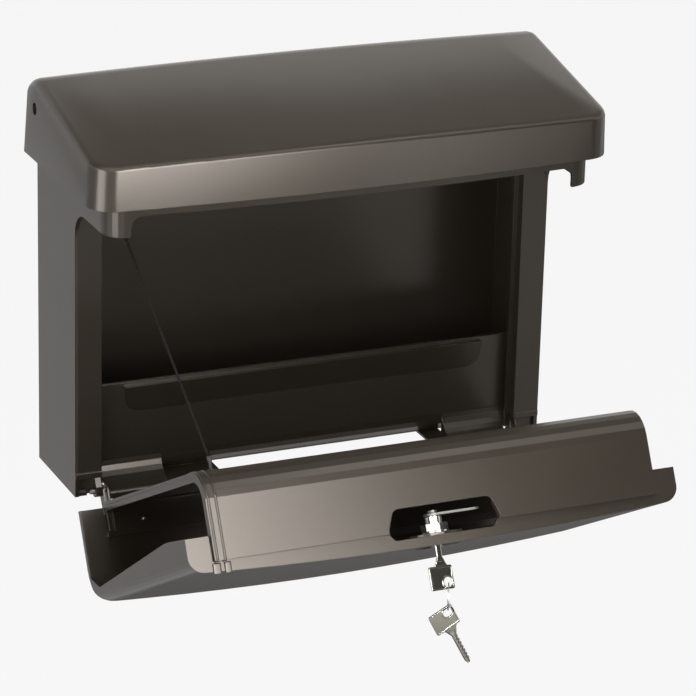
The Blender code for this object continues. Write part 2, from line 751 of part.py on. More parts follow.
def make_lid(material):
    """Rain lid: a hood with bosses for its two pins."""
    rounding = 0.0055
    inner_rounding = 0.0035
    lip_rise = 0.008
    rear_reach = 0.012
    boss_radius = 0.008
    boss_clear = 0.0011
    boss_inner = HOUSING_HALF_WIDTH + boss_clear
    boss_outer = LID_HALF_WIDTH - LID_WALL
    obj = lid_solid("lid", 0, LID_BOTTOM, rounding)
    hollow = lid_solid("lid_hollow", LID_WALL, LID_BOTTOM - BEYOND, inner_rounding)
    side = HOUSING_HALF_WIDTH + LID_WALL
    rear_opening = block("rear_opening", (-side, LID_REAR - rear_reach, LID_BOTTOM - BEYOND),
                         (side, LID_REAR + rear_reach, LID_AXIS_Z + lip_rise))
    obj = cut(obj, [hollow, rear_opening])
    place = (LID_AXIS_Y, LID_AXIS_Z)
    obj = union(obj, both_sides([rod("boss", "X", place, boss_radius, boss_inner, boss_outer)]))
    hole = rod("pin_hole", "X", place, LID_PIN_RADIUS + LID_PIN_CLEAR, boss_inner - BEYOND,
               LID_HALF_WIDTH + BEYOND)
    obj = cut(obj, both_sides([hole]))
    return finish(obj, material)


def lid_pins(material):
    """Pins that carry the lid, pushed through the housing's ears from inside."""
    radius = LID_PIN_RADIUS
    tip_depth = 0.0028
    tip = LID_HALF_WIDTH - tip_depth
    chamfer = 0.0008
    head_radius = 0.0065
    head = 0.002
    inner = HOUSING_HALF_WIDTH - WALL - GAP
    pin = turned("lid_pin_right", [(0, tip), (radius - chamfer, tip), (radius, tip - chamfer),
                                   (radius, inner), (head_radius, inner),
                                   (head_radius, inner - head), (0, inner - head)],
                 "X", (0, LID_AXIS_Y, LID_AXIS_Z))
    other = mirrored(pin)
    other.name = "lid_pin_left"
    return [finish(pin, material), finish(other, material)]


# Door

def door_profile(inset, rear, above):
    """Return the outer skin's section in YZ at the middle of the width."""
    bottom = DOOR_BOTTOM
    belly = DOOR_BELLY + inset
    radius = 0.027
    return rounded([
        (rear, bottom + inset), (belly, bottom + inset, radius - inset),
        (belly, DOOR_BELLY_Z, radius), (belly + DOOR_LEAN, DOOR_TOP), (belly + DOOR_LEAN, above),
        (rear, above)])


def door_solid(name, inset, rear, top):
    """Return the outer skin's solid: its section and its plan crossed, then bowed across."""
    bow = 0.0058
    corner = 0.0105
    bow_clear = 0.006
    bow_reach = 0.060
    bow_start = DOOR_REAR - bow_clear
    half = DOOR_HALF_WIDTH - inset
    front = DOOR_BELLY + inset
    above = top + BEYOND
    obj = prism(name, "X", [door_profile(inset, rear, above)], -half - BEYOND, half + BEYOND)
    outline = rounded([(-half, rear + BEYOND), (-half, front, corner - inset),
                       (half, front, corner - inset), (half, rear + BEYOND)])
    plan = slice_mesh(prism("plan", "Z", [outline], -BEYOND, above + BEYOND), "Z", [DOOR_BELLY_Z])

    def leaned(point):
        share = max(point.z - DOOR_BELLY_Z, 0) / (DOOR_TOP - DOOR_BELLY_Z)
        return Vector((point.x, point.y + DOOR_LEAN * min(share, 1), point.z))

    plan = reshape(slice_mesh(plan, "Z", [DOOR_TOP]), leaned)
    over = block("over", (-half - BEYOND, front - BEYOND, top),
                 (half + BEYOND, rear + BEYOND, above + BEYOND))
    obj = cut(combine(obj, [plan], "INTERSECT"), [over])
    obj = slice_mesh(obj, "X", evenly(-half, half, BOW_STEPS))

    def bowed(point):
        share = min(max((bow_start - point.y) / bow_reach, 0), 1)
        step = bow * (point.x / DOOR_HALF_WIDTH) ** 2 * share
        return Vector((point.x, point.y + step, point.z))

    return reshape(obj, bowed)


def side_openings():
    """Cutters that open the newspaper tunnel at both ends."""
    lap = 0.0005
    low = 0.0035
    low_depth = 0.0246
    knee_depth = 0.0169
    knee_height = 0.021
    knee_radius = 0.006
    waist_depth = 0.0349
    waist_below_top = 0.0405
    waist_radius = 0.080
    top_depth = 0.0333
    rear = DOOR_REAR + BEYOND
    high = DOOR_TOP + BEYOND
    outline = rounded([
        (rear, low), (DOOR_BELLY + low_depth, low),
        (DOOR_BELLY + knee_depth, knee_height, knee_radius),
        (DOOR_BELLY + waist_depth, DOOR_TOP - waist_below_top, waist_radius),
        (DOOR_BELLY + top_depth, high), (rear, high)])
    return both_sides([prism("side_opening", "X", [outline], INNER_HALF_WIDTH - lap,
                             DOOR_HALF_WIDTH + BEYOND)])


def pocket_cut():
    """Cutter for the pocket through the roof that gives access to the lock."""
    rear_reach = 0.017
    wide_reach = 0.002
    front_reach = 0.0045
    rear = DOOR_SEAM + rear_reach
    wide = DOOR_SEAM + wide_reach
    front = DOOR_SEAM - front_reach
    rear_half = 0.0370
    wide_half = 0.0425
    front_half = 0.0375
    corner = 0.006
    notch = 0.003
    depth = 0.012
    outline = rounded([
        (LOCK_X - rear_half, rear, corner), (LOCK_X + rear_half, rear, corner),
        (LOCK_X + wide_half, wide, notch), (LOCK_X + front_half, front, notch),
        (LOCK_X - front_half, front, notch), (LOCK_X - wide_half, wide, notch)])
    return prism("pocket", "Z", [outline], DOOR_TOP - depth, DOOR_TOP + depth)


def make_outer_skin(material):
    """Outer skin of the door: front, bottom, end strips, top ledge and hinge lugs."""
    top_lap = 0.0005
    ledge_lap = 0.012
    open_rear = DOOR_REAR + BEYOND
    obj = door_solid("door_outer_skin", 0, DOOR_REAR, DOOR_TOP)
    hollow = door_solid("door_hollow", DOOR_WALL, open_rear, DOOR_TOP - DOOR_WALL)
    top_gap = block("top_gap",
                    (-INNER_HALF_WIDTH - top_lap, DOOR_SEAM + ledge_lap, DOOR_TOP - BEYOND),
                    (INNER_HALF_WIDTH + top_lap, open_rear, DOOR_TOP + BEYOND))
    obj = cut(obj, [hollow, top_gap] + side_openings())
    obj = union(obj, both_sides(hinge_lugs()))
    bore = rod("lug_bore", "X", (DOOR_AXIS_Y, DOOR_AXIS_Z), HINGE_PIN_RADIUS + HINGE_PIN_CLEAR,
               LUG_INNER - BEYOND, LUG_OUTER + BEYOND)
    obj = cut(obj, both_sides([bore]) + [pocket_cut()])
    return finish(lock_seat(obj), material)


def hinge_lugs():
    """Two lugs beside each knuckle, which rise from the door's bottom."""
    lap = 0.005
    fillet = 0.003
    rear = DOOR_AXIS_Y + HINGE_RADIUS
    front = DOOR_REAR - lap
    outline = rounded([
        (front, 0), (rear, DOOR_AXIS_Z - HINGE_RADIUS, HINGE_ROUND),
        (rear, DOOR_AXIS_Z + HINGE_RADIUS, HINGE_ROUND),
        (DOOR_REAR, DOOR_AXIS_Z + HINGE_RADIUS, fillet), (front, HINGE_RADIUS)])
    return [prism("lug", "X", [outline], low, low + LUG) for low in (LUG_INNER, LUG_OUTER - LUG)]


def lock_seat(obj):
    """Sink an oval recess with the lock's bore into the door's front."""
    half_width = 0.017
    half_height = 0.0125
    face_sink = 0.0005
    bore_clear = 0.0003
    floor_rear = LOCK_FLOOR + DOOR_WALL
    outside = DOOR_BELLY - BEYOND
    steps = range(ROUND_SIDES)

    def oval(grow):
        return [(LOCK_X + (half_width + grow) * math.cos(math.tau * step / ROUND_SIDES),
                 LOCK_Z + (half_height + grow) * math.sin(math.tau * step / ROUND_SIDES))
                for step in steps]

    obj = union(obj, [prism("seat", "Y", [oval(DOOR_WALL)], DOOR_FRONT + face_sink, floor_rear)])
    obj = cut(obj, [prism("dish", "Y", [oval(0)], outside, LOCK_FLOOR)])
    return cut(obj, [rod("lock_bore", "Y", (LOCK_X, LOCK_Z), LOCK_BARREL + bore_clear, outside,
                         floor_rear + WALL)])


def make_inner_skin(material):
    """Inner skin of the door: bottom flange, rear wall and rounded roof with rims at its ends."""
    rise = 0.003
    rear = INNER_REAR
    top = DOOR_TOP + rise
    bottom = INNER_BOTTOM
    corner = 0.020
    foot = 0.004
    rim_foot = 0.008
    overlap_depth = 0.0135
    notch_clear = 0.0006
    notch_rise = 0.0008
    flange_reach = 0.026
    flange_front = INNER_REAR - flange_reach
    half = INNER_HALF_WIDTH
    rim_depth = 0.0055
    rim_width = 0.0022
    seam = DOOR_SEAM + GAP
    line = open_line([(flange_front, bottom), (rear, bottom, foot), (rear, top, corner), (seam, top)])
    obj = prism("door_inner_skin", "X", [band(line, DOOR_WALL)], -half, half)
    sink = DOOR_WALL / 2
    rim_line = open_line([(flange_front + foot, bottom + sink), (rear - sink, bottom + sink, rim_foot),
                          (rear - sink, top - sink, corner - sink), (seam + sink, top - sink)])
    rim = prism("rim", "X", [band(rim_line, rim_depth)], half - rim_width, half - GAP)
    obj = union(obj, both_sides([rim]))
    overlap = block("overlap", (-half - GAP, seam - GAP, 0),
                    (half + GAP, DOOR_SEAM + overlap_depth, DOOR_TOP + GAP))
    notch = block("lug_notch", (LUG_INNER - notch_clear, flange_front + foot, bottom - foot),
                  (half + foot, rear + foot, DOOR_AXIS_Z + HINGE_RADIUS + notch_rise))
    obj = cut(obj, [overlap] + both_sides([notch]))
    screw_radius = 0.0014
    holes = [rod("screw_hole", "Z", (share * half, SCREW_Y), screw_radius, bottom - foot,
                 bottom + foot) for share in SCREW_SHARES]
    obj = cut(obj, holes + [pocket_cut()])
    return finish(obj, material)


def door_screws(outer, material):
    """Screws that join the two skins from below, and their holes in the outer skin."""
    shank = 0.00125
    clearance = 0.0016
    head_radius = 0.003
    head = 0.0016
    seat = DOOR_BOTTOM - GAP
    tip = 0.0085
    top_round = 0.0008
    screws = []
    for index, share in enumerate(SCREW_SHARES):
        x = share * INNER_HALF_WIDTH
        outer = cut(outer, [rod("clearance", "Z", (x, SCREW_Y), clearance, -tip, tip)])
        profile = [(0, tip), (shank, tip - top_round), (shank, seat), (head_radius, seat),
                   (head_radius, seat - head / 2), (head_radius - top_round, seat - head),
                   (0, seat - head)]
        screws.append(turned("door_screw_" + str(index + 1), profile, "Z", (x, SCREW_Y, 0)))
    return outer, [finish(screw, material) for screw in screws]


def hinge_pins(material):
    """Pins of the door's hinge, through both lugs into the housing's corner blocks."""
    radius = HINGE_PIN_RADIUS
    chamfer = 0.0004
    flush = 0.0001
    tip = KNUCKLE_INNER + PIN_DEPTH
    inner = LUG_INNER + flush
    pin = turned("door_hinge_pin_right", [(0, tip), (radius - chamfer, tip), (radius, tip - chamfer),
                                          (radius, inner + chamfer), (radius - chamfer, inner),
                                          (0, inner)],
                 "X", (0, DOOR_AXIS_Y, DOOR_AXIS_Z))
    other = mirrored(pin)
    other.name = "door_hinge_pin_left"
    return [finish(pin, material), finish(other, material)]


# Lock

def make_lock(shine):
    """Lock's fixed pieces: body with flange, washer and nut."""
    flange = 0.0105
    flange_depth = 0.002
    body_length = 0.014
    front = LOCK_FLOOR - GAP
    rear = LOCK_FLOOR + body_length
    bore = PLUG_RADIUS + PLUG_CLEAR
    place = (LOCK_X, 0, LOCK_Z)
    body = turned("lock_body", [
        (bore, -front + flange_depth), (flange, -front + flange_depth), (flange, -front),
        (LOCK_BARREL, -front), (LOCK_BARREL, -rear), (bore, -rear), (bore, -front + flange_depth)],
        "-Y", place)
    washer_outer = 0.0100
    washer = 0.001
    washer_front = LOCK_FLOOR + DOOR_WALL + GAP
    inside = LOCK_BARREL + GAP
    ring = turned("lock_washer", [
        (inside, -washer_front), (washer_outer, -washer_front), (washer_outer, -washer_front - washer),
        (inside, -washer_front - washer), (inside, -washer_front)], "-Y", place)
    nut_front = washer_front + washer + GAP
    nut_depth = 0.005
    across = 0.0096
    nut = rod("lock_nut", "Y", (LOCK_X, LOCK_Z), across, nut_front, nut_front + nut_depth, NUT_SIDES)
    nut = cut(nut, [rod("thread", "Y", (LOCK_X, LOCK_Z), inside, nut_front - WALL,
                        nut_front + nut_depth + WALL)])
    return [finish(body, shine), finish(ring, shine), finish(nut, shine)]


def make_plug(shine, dull):
    """Turning plug with its keyway, the cam on its rear end and the cam's screw."""
    face_reach = 0.0018
    plug_length = 0.0144
    cam_gap = 0.0002
    cam_thickness = 0.0018
    square = 0.0022
    slot_half = 0.0010
    slot_height = 0.0028
    slot_depth = 0.0125
    face = LOCK_FLOOR - face_reach
    shoulder = LOCK_FLOOR + plug_length
    cam_start = shoulder + cam_gap
    plug = rod("lock_plug", "Y", (LOCK_X, LOCK_Z), PLUG_RADIUS, face, shoulder)
    tang = block("tang", (LOCK_X - square, shoulder - square, LOCK_Z - square),
                 (LOCK_X + square, cam_start + cam_thickness, LOCK_Z + square))
    plug = union(plug, [tang])
    slot = block("slot", (LOCK_X - slot_height, face - slot_depth, LOCK_Z - slot_half),
                 (LOCK_X + slot_height, face + slot_depth, LOCK_Z + slot_half))
    screw_radius = 0.0010
    head_radius = 0.0036
    head = 0.0018
    seat = cam_start + cam_thickness + GAP
    hole = rod("tapped", "Y", (LOCK_X, LOCK_Z), screw_radius + GAP, shoulder - GAP, seat + head)
    plug = cut(plug, [slot, hole])
    screw = turned("cam_screw", [
        (0, -shoulder), (screw_radius, -shoulder), (screw_radius, -seat), (head_radius, -seat),
        (head_radius, -seat - head), (0, -seat - head)], "-Y", (LOCK_X, 0, LOCK_Z))
    cam_reach = 0.034
    cam_half = 0.0065
    cam_round = 0.004
    back_round = 0.0062
    cam_back = LOCK_X - cam_half
    cam_end = LOCK_X + cam_reach
    cam = prism("lock_cam", "Y", [rounded([
        (cam_back, LOCK_Z - cam_half, back_round), (cam_end, LOCK_Z - cam_half, cam_round),
        (cam_end, LOCK_Z + cam_half, cam_round), (cam_back, LOCK_Z + cam_half, back_round)])],
        cam_start + cam_gap / 2, cam_start + cam_thickness)
    fit = square + GAP
    cam = cut(cam, [block("cam_hole", (LOCK_X - fit, shoulder - fit, LOCK_Z - fit),
                          (LOCK_X + fit, seat + fit, LOCK_Z + fit))])
    return [finish(plug, shine), finish(cam, dull), finish(screw, dull)]


def key_shape(name, blade_length):
    """Return a key drawn in XY, blade toward +Y and bow toward -Y, flat at height zero."""
    left_reach = 0.0107
    right_reach = 0.0083
    collar_ahead = 0.0186
    shoulder_ahead = 0.0205
    bow_ahead = 0.0373
    corner = 0.0013
    blade = 0.0024
    shoulder = 0.006
    notch = 0.0008
    tip_half = 0.0014
    left = LOCK_X - left_reach
    right = LOCK_X + right_reach
    rear = LOCK_FLOOR - shoulder_ahead
    front = LOCK_FLOOR - bow_ahead
    collar = LOCK_FLOOR - collar_ahead
    tip = LOCK_FLOOR + blade_length
    centre = LOCK_X
    outline = rounded([
        (left, rear, corner), (centre - shoulder, rear), (centre - shoulder, collar),
        (centre - blade, collar), (centre - blade, tip - blade), (centre - tip_half, tip),
        (centre + tip_half, tip), (centre + blade, tip - blade),
        (centre + blade - notch, tip - blade * 2), (centre + blade, tip - blade * 3),
        (centre + blade, collar), (centre + shoulder, collar), (centre + shoulder, rear),
        (right, rear, corner), (right, front, corner), (left, front, corner)])
    hole_points = circle(KEY_HOLE_X, KEY_HOLE_Y, KEY_HOLE_RADIUS)
    return prism(name, "Z", [outline, hole_points], -KEY_THICKNESS / 2, KEY_THICKNESS / 2)


def make_key(material):
    """Key in the lock, lying across the plug's keyway."""
    blade_length = 0.0100
    key = key_shape("key", blade_length)
    key.data.transform(Matrix.Translation((0, 0, LOCK_Z)))
    return finish(key, material)


# Ring and spare key, hanging straight down from the open door's key

def open_door_matrix():
    """Return the move that takes a closed door's place to its open one."""
    axis = Vector((0, DOOR_AXIS_Y, DOOR_AXIS_Z))
    turn = Matrix.Rotation(DOOR_OPEN_ANGLE, 4, "X")
    return Matrix.Translation(axis) @ turn @ Matrix.Translation(-axis)


def ring_centre():
    """Return the middle of the ring, whose wire rests on the lower edge of the key's hole."""
    hold = KEY_HOLE_Y - (KEY_HOLE_RADIUS - RING_WIRE - KEY_SLACK)
    top = open_door_matrix() @ Vector((KEY_HOLE_X, hold, LOCK_Z))
    return top - Vector((0, 0, RING_RADIUS))


def make_ring(material):
    """Wire ring through the key's hole, closed by a hairline gap."""
    gap_angle = math.radians(4)
    steps = 36
    resolution = 2
    curve = bpy.data.curves.new("key_ring", "CURVE")
    curve.dimensions = "3D"
    curve.bevel_depth = RING_WIRE
    curve.bevel_resolution = resolution
    curve.use_fill_caps = True
    spline = curve.splines.new("POLY")
    spline.points.add(steps)
    for index, point in enumerate(spline.points):
        angle = gap_angle + (math.tau - gap_angle * 2) * index / steps
        point.co = (RING_RADIUS * math.cos(angle), 0, RING_RADIUS * math.sin(angle), 1)
    obj = bpy.data.objects.new("key_ring", curve)
    PARTS.objects.link(obj)
    obj.matrix_world = Matrix.Translation(ring_centre()) @ Matrix.Rotation(RING_TURN, 4, "Z")
    return finish(mesh_of(obj, "key_ring"), material)


def make_spare_key(material):
    """Second key hanging from the ring."""
    tilt = math.radians(-28)
    blade_length = 0.0125
    key = key_shape("spare_key", blade_length)
    below = RING_RADIUS + KEY_HOLE_RADIUS - RING_WIRE - SPARE_SLACK
    hang = Matrix.Translation(ring_centre() - Vector((0, 0, below)))
    upright = Matrix.Rotation(-math.pi / 2, 4, "X")
    home = Matrix.Translation((-KEY_HOLE_X, -KEY_HOLE_Y, 0))
    key.data.transform(hang @ Matrix.Rotation(tilt, 4, "Y") @ upright @ home)
    return finish(key, material)


# Check cord

def make_cord(material):
    """Taut cord between the post in the left arm and the post on the open door."""
    steps = 30
    resolution = 2
    clear = 0.0024
    start = Vector(CORD_TOP)
    end = Vector(CORD_FOOT)
    along = (end - start).normalized()
    curve = bpy.data.curves.new("check_cord", "CURVE")
    curve.dimensions = "3D"
    curve.bevel_depth = CORD_RADIUS
    curve.bevel_resolution = resolution
    curve.use_fill_caps = True
    spline = curve.splines.new("POLY")
    spline.points.add(steps)
    for index, point in enumerate(spline.points):
        place = (start + along * clear).lerp(end - along * clear, index / steps)
        point.co = (*place, 1)
    obj = bpy.data.objects.new("check_cord", curve)
    PARTS.objects.link(obj)
    return finish(mesh_of(obj, "check_cord"), material)


def cord_post_profile(length):
    """Return the section of a turned post with a flange, a stem and a head that holds the cord."""
    flange = 0.0031
    flange_depth = 0.0010
    stem = 0.0012
    head = 0.0018
    head_depth = CORD_HEAD_DEPTH
    return [(0, length), (head, length), (head, length - head_depth), (stem, length - head_depth),
            (stem, flange_depth), (flange, flange_depth), (flange, 0), (0, 0)]


def cord_posts(material):
    """Post on the arm's inner face and post on the door's rear wall."""
    arm = -HOUSING_HALF_WIDTH + WALL + GAP
    upper_length = CORD_TOP[0] + CORD_HEAD_DEPTH / 2 - arm
    upper = turned("cord_post_housing", cord_post_profile(upper_length), "X",
                   (arm, CORD_TOP[1], CORD_TOP[2]))
    foot = open_door_matrix().inverted() @ Vector(CORD_FOOT)
    seat = INNER_REAR + GAP
    lower_length = foot.y + CORD_HEAD_DEPTH / 2 - seat
    lower = turned("cord_post_door", cord_post_profile(lower_length), "Y", (foot.x, seat, foot.z))
    return finish(upper, material), finish(lower, material)


def hang_on(pieces, empty):
    """Parent pieces to an empty, whose place becomes their origin."""
    for piece in pieces:
        piece.data.transform(Matrix.Translation(-empty.location))
        piece.parent = empty


def new_empty(name, place):
    """Return an empty at a joint's place."""
    empty = bpy.data.objects.new(name, None)
    empty.location = place
    PARTS.objects.link(empty)
    return empty


def build():
    """Build every piece, hang the door open and move the model to its origin."""
    bronze = bronze_plastic()
    shine = chrome()
    dull = zinc_steel()
    housing = make_housing(bronze)
    lid = make_lid(bronze)
    outer = make_outer_skin(bronze)
    inner = make_inner_skin(bronze)
    outer, screws = door_screws(outer, dull)
    finish(outer, bronze)
    lock = make_lock(shine)
    plug = make_plug(shine, dull)
    key = make_key(shine)
    black = black_plastic()
    upper_post, lower_post = cord_posts(black)
    fixed = [housing] + lid_pins(black) + hinge_pins(dull) + [upper_post, make_cord(black_cord())]
    free = [make_ring(shine), make_spare_key(shine)]
    centre_height = (WALL_HOLE_LOW + WALL_HOLE_HIGH) / 2
    root = new_empty("wall_centre", (0, 0, -centre_height))
    lid_axis = new_empty("lid_axis", (0, LID_AXIS_Y, LID_AXIS_Z))
    door_axis = new_empty("door_axis", (0, DOOR_AXIS_Y, DOOR_AXIS_Z))
    lock_axis = new_empty("lock_axis", (LOCK_X, 0, LOCK_Z))
    hang_on([lid], lid_axis)
    hang_on([outer, inner, lower_post] + screws + lock, door_axis)
    hang_on(plug + [key], lock_axis)
    lock_axis.parent = door_axis
    lock_axis.location = lock_axis.location - door_axis.location
    door_axis.rotation_euler = (DOOR_OPEN_ANGLE, 0, 0)
    for obj in [lid_axis, door_axis] + fixed + free:
        obj.parent = root


clear_scene()
PARTS = new_collection("mailbox")
CUTTERS = new_collection("mailbox_cutters")
build()
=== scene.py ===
"""Looks of the wall mailbox: satin bronze plastic, plated lock, keys, braided cord and stage."""
import math

import bmesh
import bpy
import numpy as np
from bpy.props import FloatProperty, FloatVectorProperty, IntProperty, PointerProperty
from mathutils import Matrix, Vector


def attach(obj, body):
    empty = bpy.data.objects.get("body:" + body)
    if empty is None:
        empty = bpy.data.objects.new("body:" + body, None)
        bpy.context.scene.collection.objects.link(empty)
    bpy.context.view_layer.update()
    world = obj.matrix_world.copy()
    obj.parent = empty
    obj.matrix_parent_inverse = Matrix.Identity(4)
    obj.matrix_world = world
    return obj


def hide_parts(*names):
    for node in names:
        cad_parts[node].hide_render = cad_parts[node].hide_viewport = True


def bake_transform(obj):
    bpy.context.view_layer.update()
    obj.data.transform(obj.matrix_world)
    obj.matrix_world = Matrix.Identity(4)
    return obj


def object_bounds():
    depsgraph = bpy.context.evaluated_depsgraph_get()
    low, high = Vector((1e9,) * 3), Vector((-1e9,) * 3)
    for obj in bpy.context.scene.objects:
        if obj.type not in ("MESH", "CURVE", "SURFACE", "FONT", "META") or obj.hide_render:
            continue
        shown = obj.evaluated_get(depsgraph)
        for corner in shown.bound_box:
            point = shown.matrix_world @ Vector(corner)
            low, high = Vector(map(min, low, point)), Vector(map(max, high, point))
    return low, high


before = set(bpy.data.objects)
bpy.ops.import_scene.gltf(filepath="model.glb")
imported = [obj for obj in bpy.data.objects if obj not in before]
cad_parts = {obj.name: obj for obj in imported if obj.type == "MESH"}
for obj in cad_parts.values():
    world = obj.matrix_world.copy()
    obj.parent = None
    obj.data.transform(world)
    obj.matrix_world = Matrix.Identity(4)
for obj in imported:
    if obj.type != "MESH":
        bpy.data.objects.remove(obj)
CAD_BOX = [list(corner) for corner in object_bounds()]

bl_info = {
    "name": "Wall mailbox looks",
    "version": (1, 0, 0),
    "blender": (4, 5, 0),
    "location": "3D View > Sidebar > Mailbox",
    "description": "Finishes, small parts and stage of a wall mailbox with a drop-down door",
    "category": "Object",
}

# Camera, in degrees, metres and millimetres of focal length
CAMERA_AIM = (0.0102, -0.1200, -0.0218)
CAMERA_DISTANCE = 2.6456
CAMERA_AZIMUTH = -23.892
CAMERA_ELEVATION = 20.801
CAMERA_ROLL = 1.507
CAMERA_LENS = 187.1
SENSOR_WIDTH = 36

# All other lengths are in metres, unless a name or a comment says millimetres
MILLIMETRE = 0.001

# The wall holes' centre, which is the origin, above the housing's lower edge
CENTRE_HEIGHT = 0.127

# The check cord's two ends on their posts' axes, and how far its braid stays clear of the axes
CORD_TOP = (-0.1700, -0.1180, 0.2300 - CENTRE_HEIGHT)
CORD_FOOT = (-0.1500, -0.2520, 0.0920 - CENTRE_HEIGHT)
CORD_CLEAR = 0.0024

# The door's hinge axis (Y, Z) above the housing's lower edge, and how far the door hangs open
HINGE = (-0.081, 0.0025)
OPEN_ANGLE = math.radians(62.2)

# The lock, its keys and their ring on the shut door, as the model's source has them, apart from the
# twist of the key in its keyway
LOCK_X = 0.003
LOCK_Z = 0.205
LOCK_FLOOR = -0.1582
KEY_HOLE = (0.0036, -0.0324)
KEY_HOLE_RADIUS = 0.0037
KEY_TWIST = math.radians(10)
KEY_HOME_REACH = 0.0100
RING_RADIUS = 0.0094
RING_WIRE = 0.0007
RING_TURN = math.radians(66)
RING_SLACK = 0.0013
SPARE_SLACK = 0.0004
SPARE_TILT = math.radians(-28)
SPARE_REACH = 0.0125

# Lid's lower edge and the front edge of its roof, from the centre of the wall holes
LID_BOTTOM = 0.244 - CENTRE_HEIGHT
LID_FRONT_EDGE = 0.2718 - CENTRE_HEIGHT

# Beads on the door's inner skin: places across, radius, and the Z where their path starts on the
# skin's rear face and the Y where it ends on the roof, on the shut door
BEAD_X = (-0.1605, -0.1660)
BEAD_RADIUS = 0.0010
BEAD_START = 0.1950
BEAD_END = -0.1535

# Feet of the beads on the ledge: place across and half width; the gap between a bead and its foot;
# and the height of the feet on the shut door
BEAD_FEET = ((-0.1585, 0.0024), (-0.1665, 0.0029))
FOOT_GAP = 0.0003
LEDGE_TOP = 0.2215

# Outside of the inner skin's section on the shut door: rear face, roof and the corner between them
SKIN_REAR = -0.090
SKIN_TOP = 0.2245
SKIN_CORNER = 0.020


def linear(code):
    """Turn an sRGB hex colour into linear red, green and blue."""
    parts = [int(code[place:place + 2], 16) / 255 for place in (1, 3, 5)]
    return tuple(part / 12.92 if part <= 0.04045 else ((part + 0.055) / 1.055) ** 2.4
                 for part in parts)


def add_node(tree, kind, settings=None, inputs=None):
    """Add a shader node with its settings; an input is a value or another node's output."""
    made = tree.nodes.new("ShaderNode" + kind)
    for name, value in (settings or {}).items():
        setattr(made, name, value)
    for name, value in (inputs or {}).items():
        if isinstance(value, bpy.types.NodeSocket):
            tree.links.new(value, made.inputs[name])
        else:
            made.inputs[name].default_value = value
    return made


def new_material(name):
    """Return a material, its node tree and its shader, ready for nodes."""
    material = bpy.data.materials.new(name)
    material.use_nodes = True
    tree = material.node_tree
    return material, tree, tree.nodes["Principled BSDF"]


def per_metre(millimetres):
    """Return the texture scale whose features are so many millimetres across."""
    return 1 / (millimetres * MILLIMETRE)


def add_bump(tree, height, strength, depth, edge=None):
    """Add a bump so many millimetres deep, over a rounded edge if given, and return its normal."""
    inputs = {"Height": height, "Strength": strength, "Distance": depth * MILLIMETRE}
    if edge:
        inputs["Normal"] = edge.outputs["Normal"]
    return add_node(tree, "Bump", inputs=inputs).outputs["Normal"]


def seen_directly(tree):
    """Return an output that is 1 for camera, glossy and transmission rays and 0 for the others."""
    rays = add_node(tree, "LightPath")
    seen = rays.outputs["Is Camera Ray"]
    for kind in ("Is Glossy Ray", "Is Transmission Ray"):
        seen = add_node(tree, "Math", {"operation": "MAXIMUM"}, {
            0: seen, 1: rays.outputs[kind]}).outputs[0]
    return seen


def put_in_scene(obj):
    """Link an object to the scene and return it."""
    bpy.context.scene.collection.objects.link(obj)
    return obj


class MailboxFinish(bpy.types.PropertyGroup):
    """Colours and finishes that a user would change."""

    plastic: FloatVectorProperty(
        name="Plastic", description="Body colour of the bronze moulding plastic",
        subtype="COLOR", size=3, min=0, max=1, default=linear("#5c5348"))
    plastic_dark: FloatVectorProperty(
        name="Plastic, dark flow", description="Colour of the darker flow marks in the plastic",
        subtype="COLOR", size=3, min=0, max=1, default=linear("#544b40"))
    plastic_roughness: FloatProperty(
        name="Plastic roughness", description="Roughness of the satin moulded surface",
        min=0, max=1, default=0.245)
    chrome: FloatVectorProperty(
        name="Chrome", description="Colour of the bright plating on the lock and the key ring",
        subtype="COLOR", size=3, min=0, max=1, default=linear("#dcdad4"))
    nickel: FloatVectorProperty(
        name="Nickel silver", description="Colour of the stamped keys",
        subtype="COLOR", size=3, min=0, max=1, default=linear("#d6d3c4"))
    zinc: FloatVectorProperty(
        name="Zinc", description="Colour of the duller plating on cam, pins and screws",
        subtype="COLOR", size=3, min=0, max=1, default=linear("#75746f"))
    cord: FloatVectorProperty(
        name="Cord", description="Colour of the braided cord",
        subtype="COLOR", size=3, min=0, max=1, default=linear("#0b0b0a"))


class MailboxSizes(bpy.types.PropertyGroup):
    """Sizes of the braided check cord."""

    cord_diameter: FloatProperty(
        name="Cord diameter", description="Diameter of the braided check cord",
        subtype="DISTANCE", unit="LENGTH", default=0.002)
    strand_pitch: FloatProperty(
        name="Strand pitch", description="Length over which a strand goes once round the cord",
        subtype="DISTANCE", unit="LENGTH", default=0.012)
    strands: IntProperty(
        name="Strands", description="Strands that turn one way round in the braid",
        min=2, default=6)


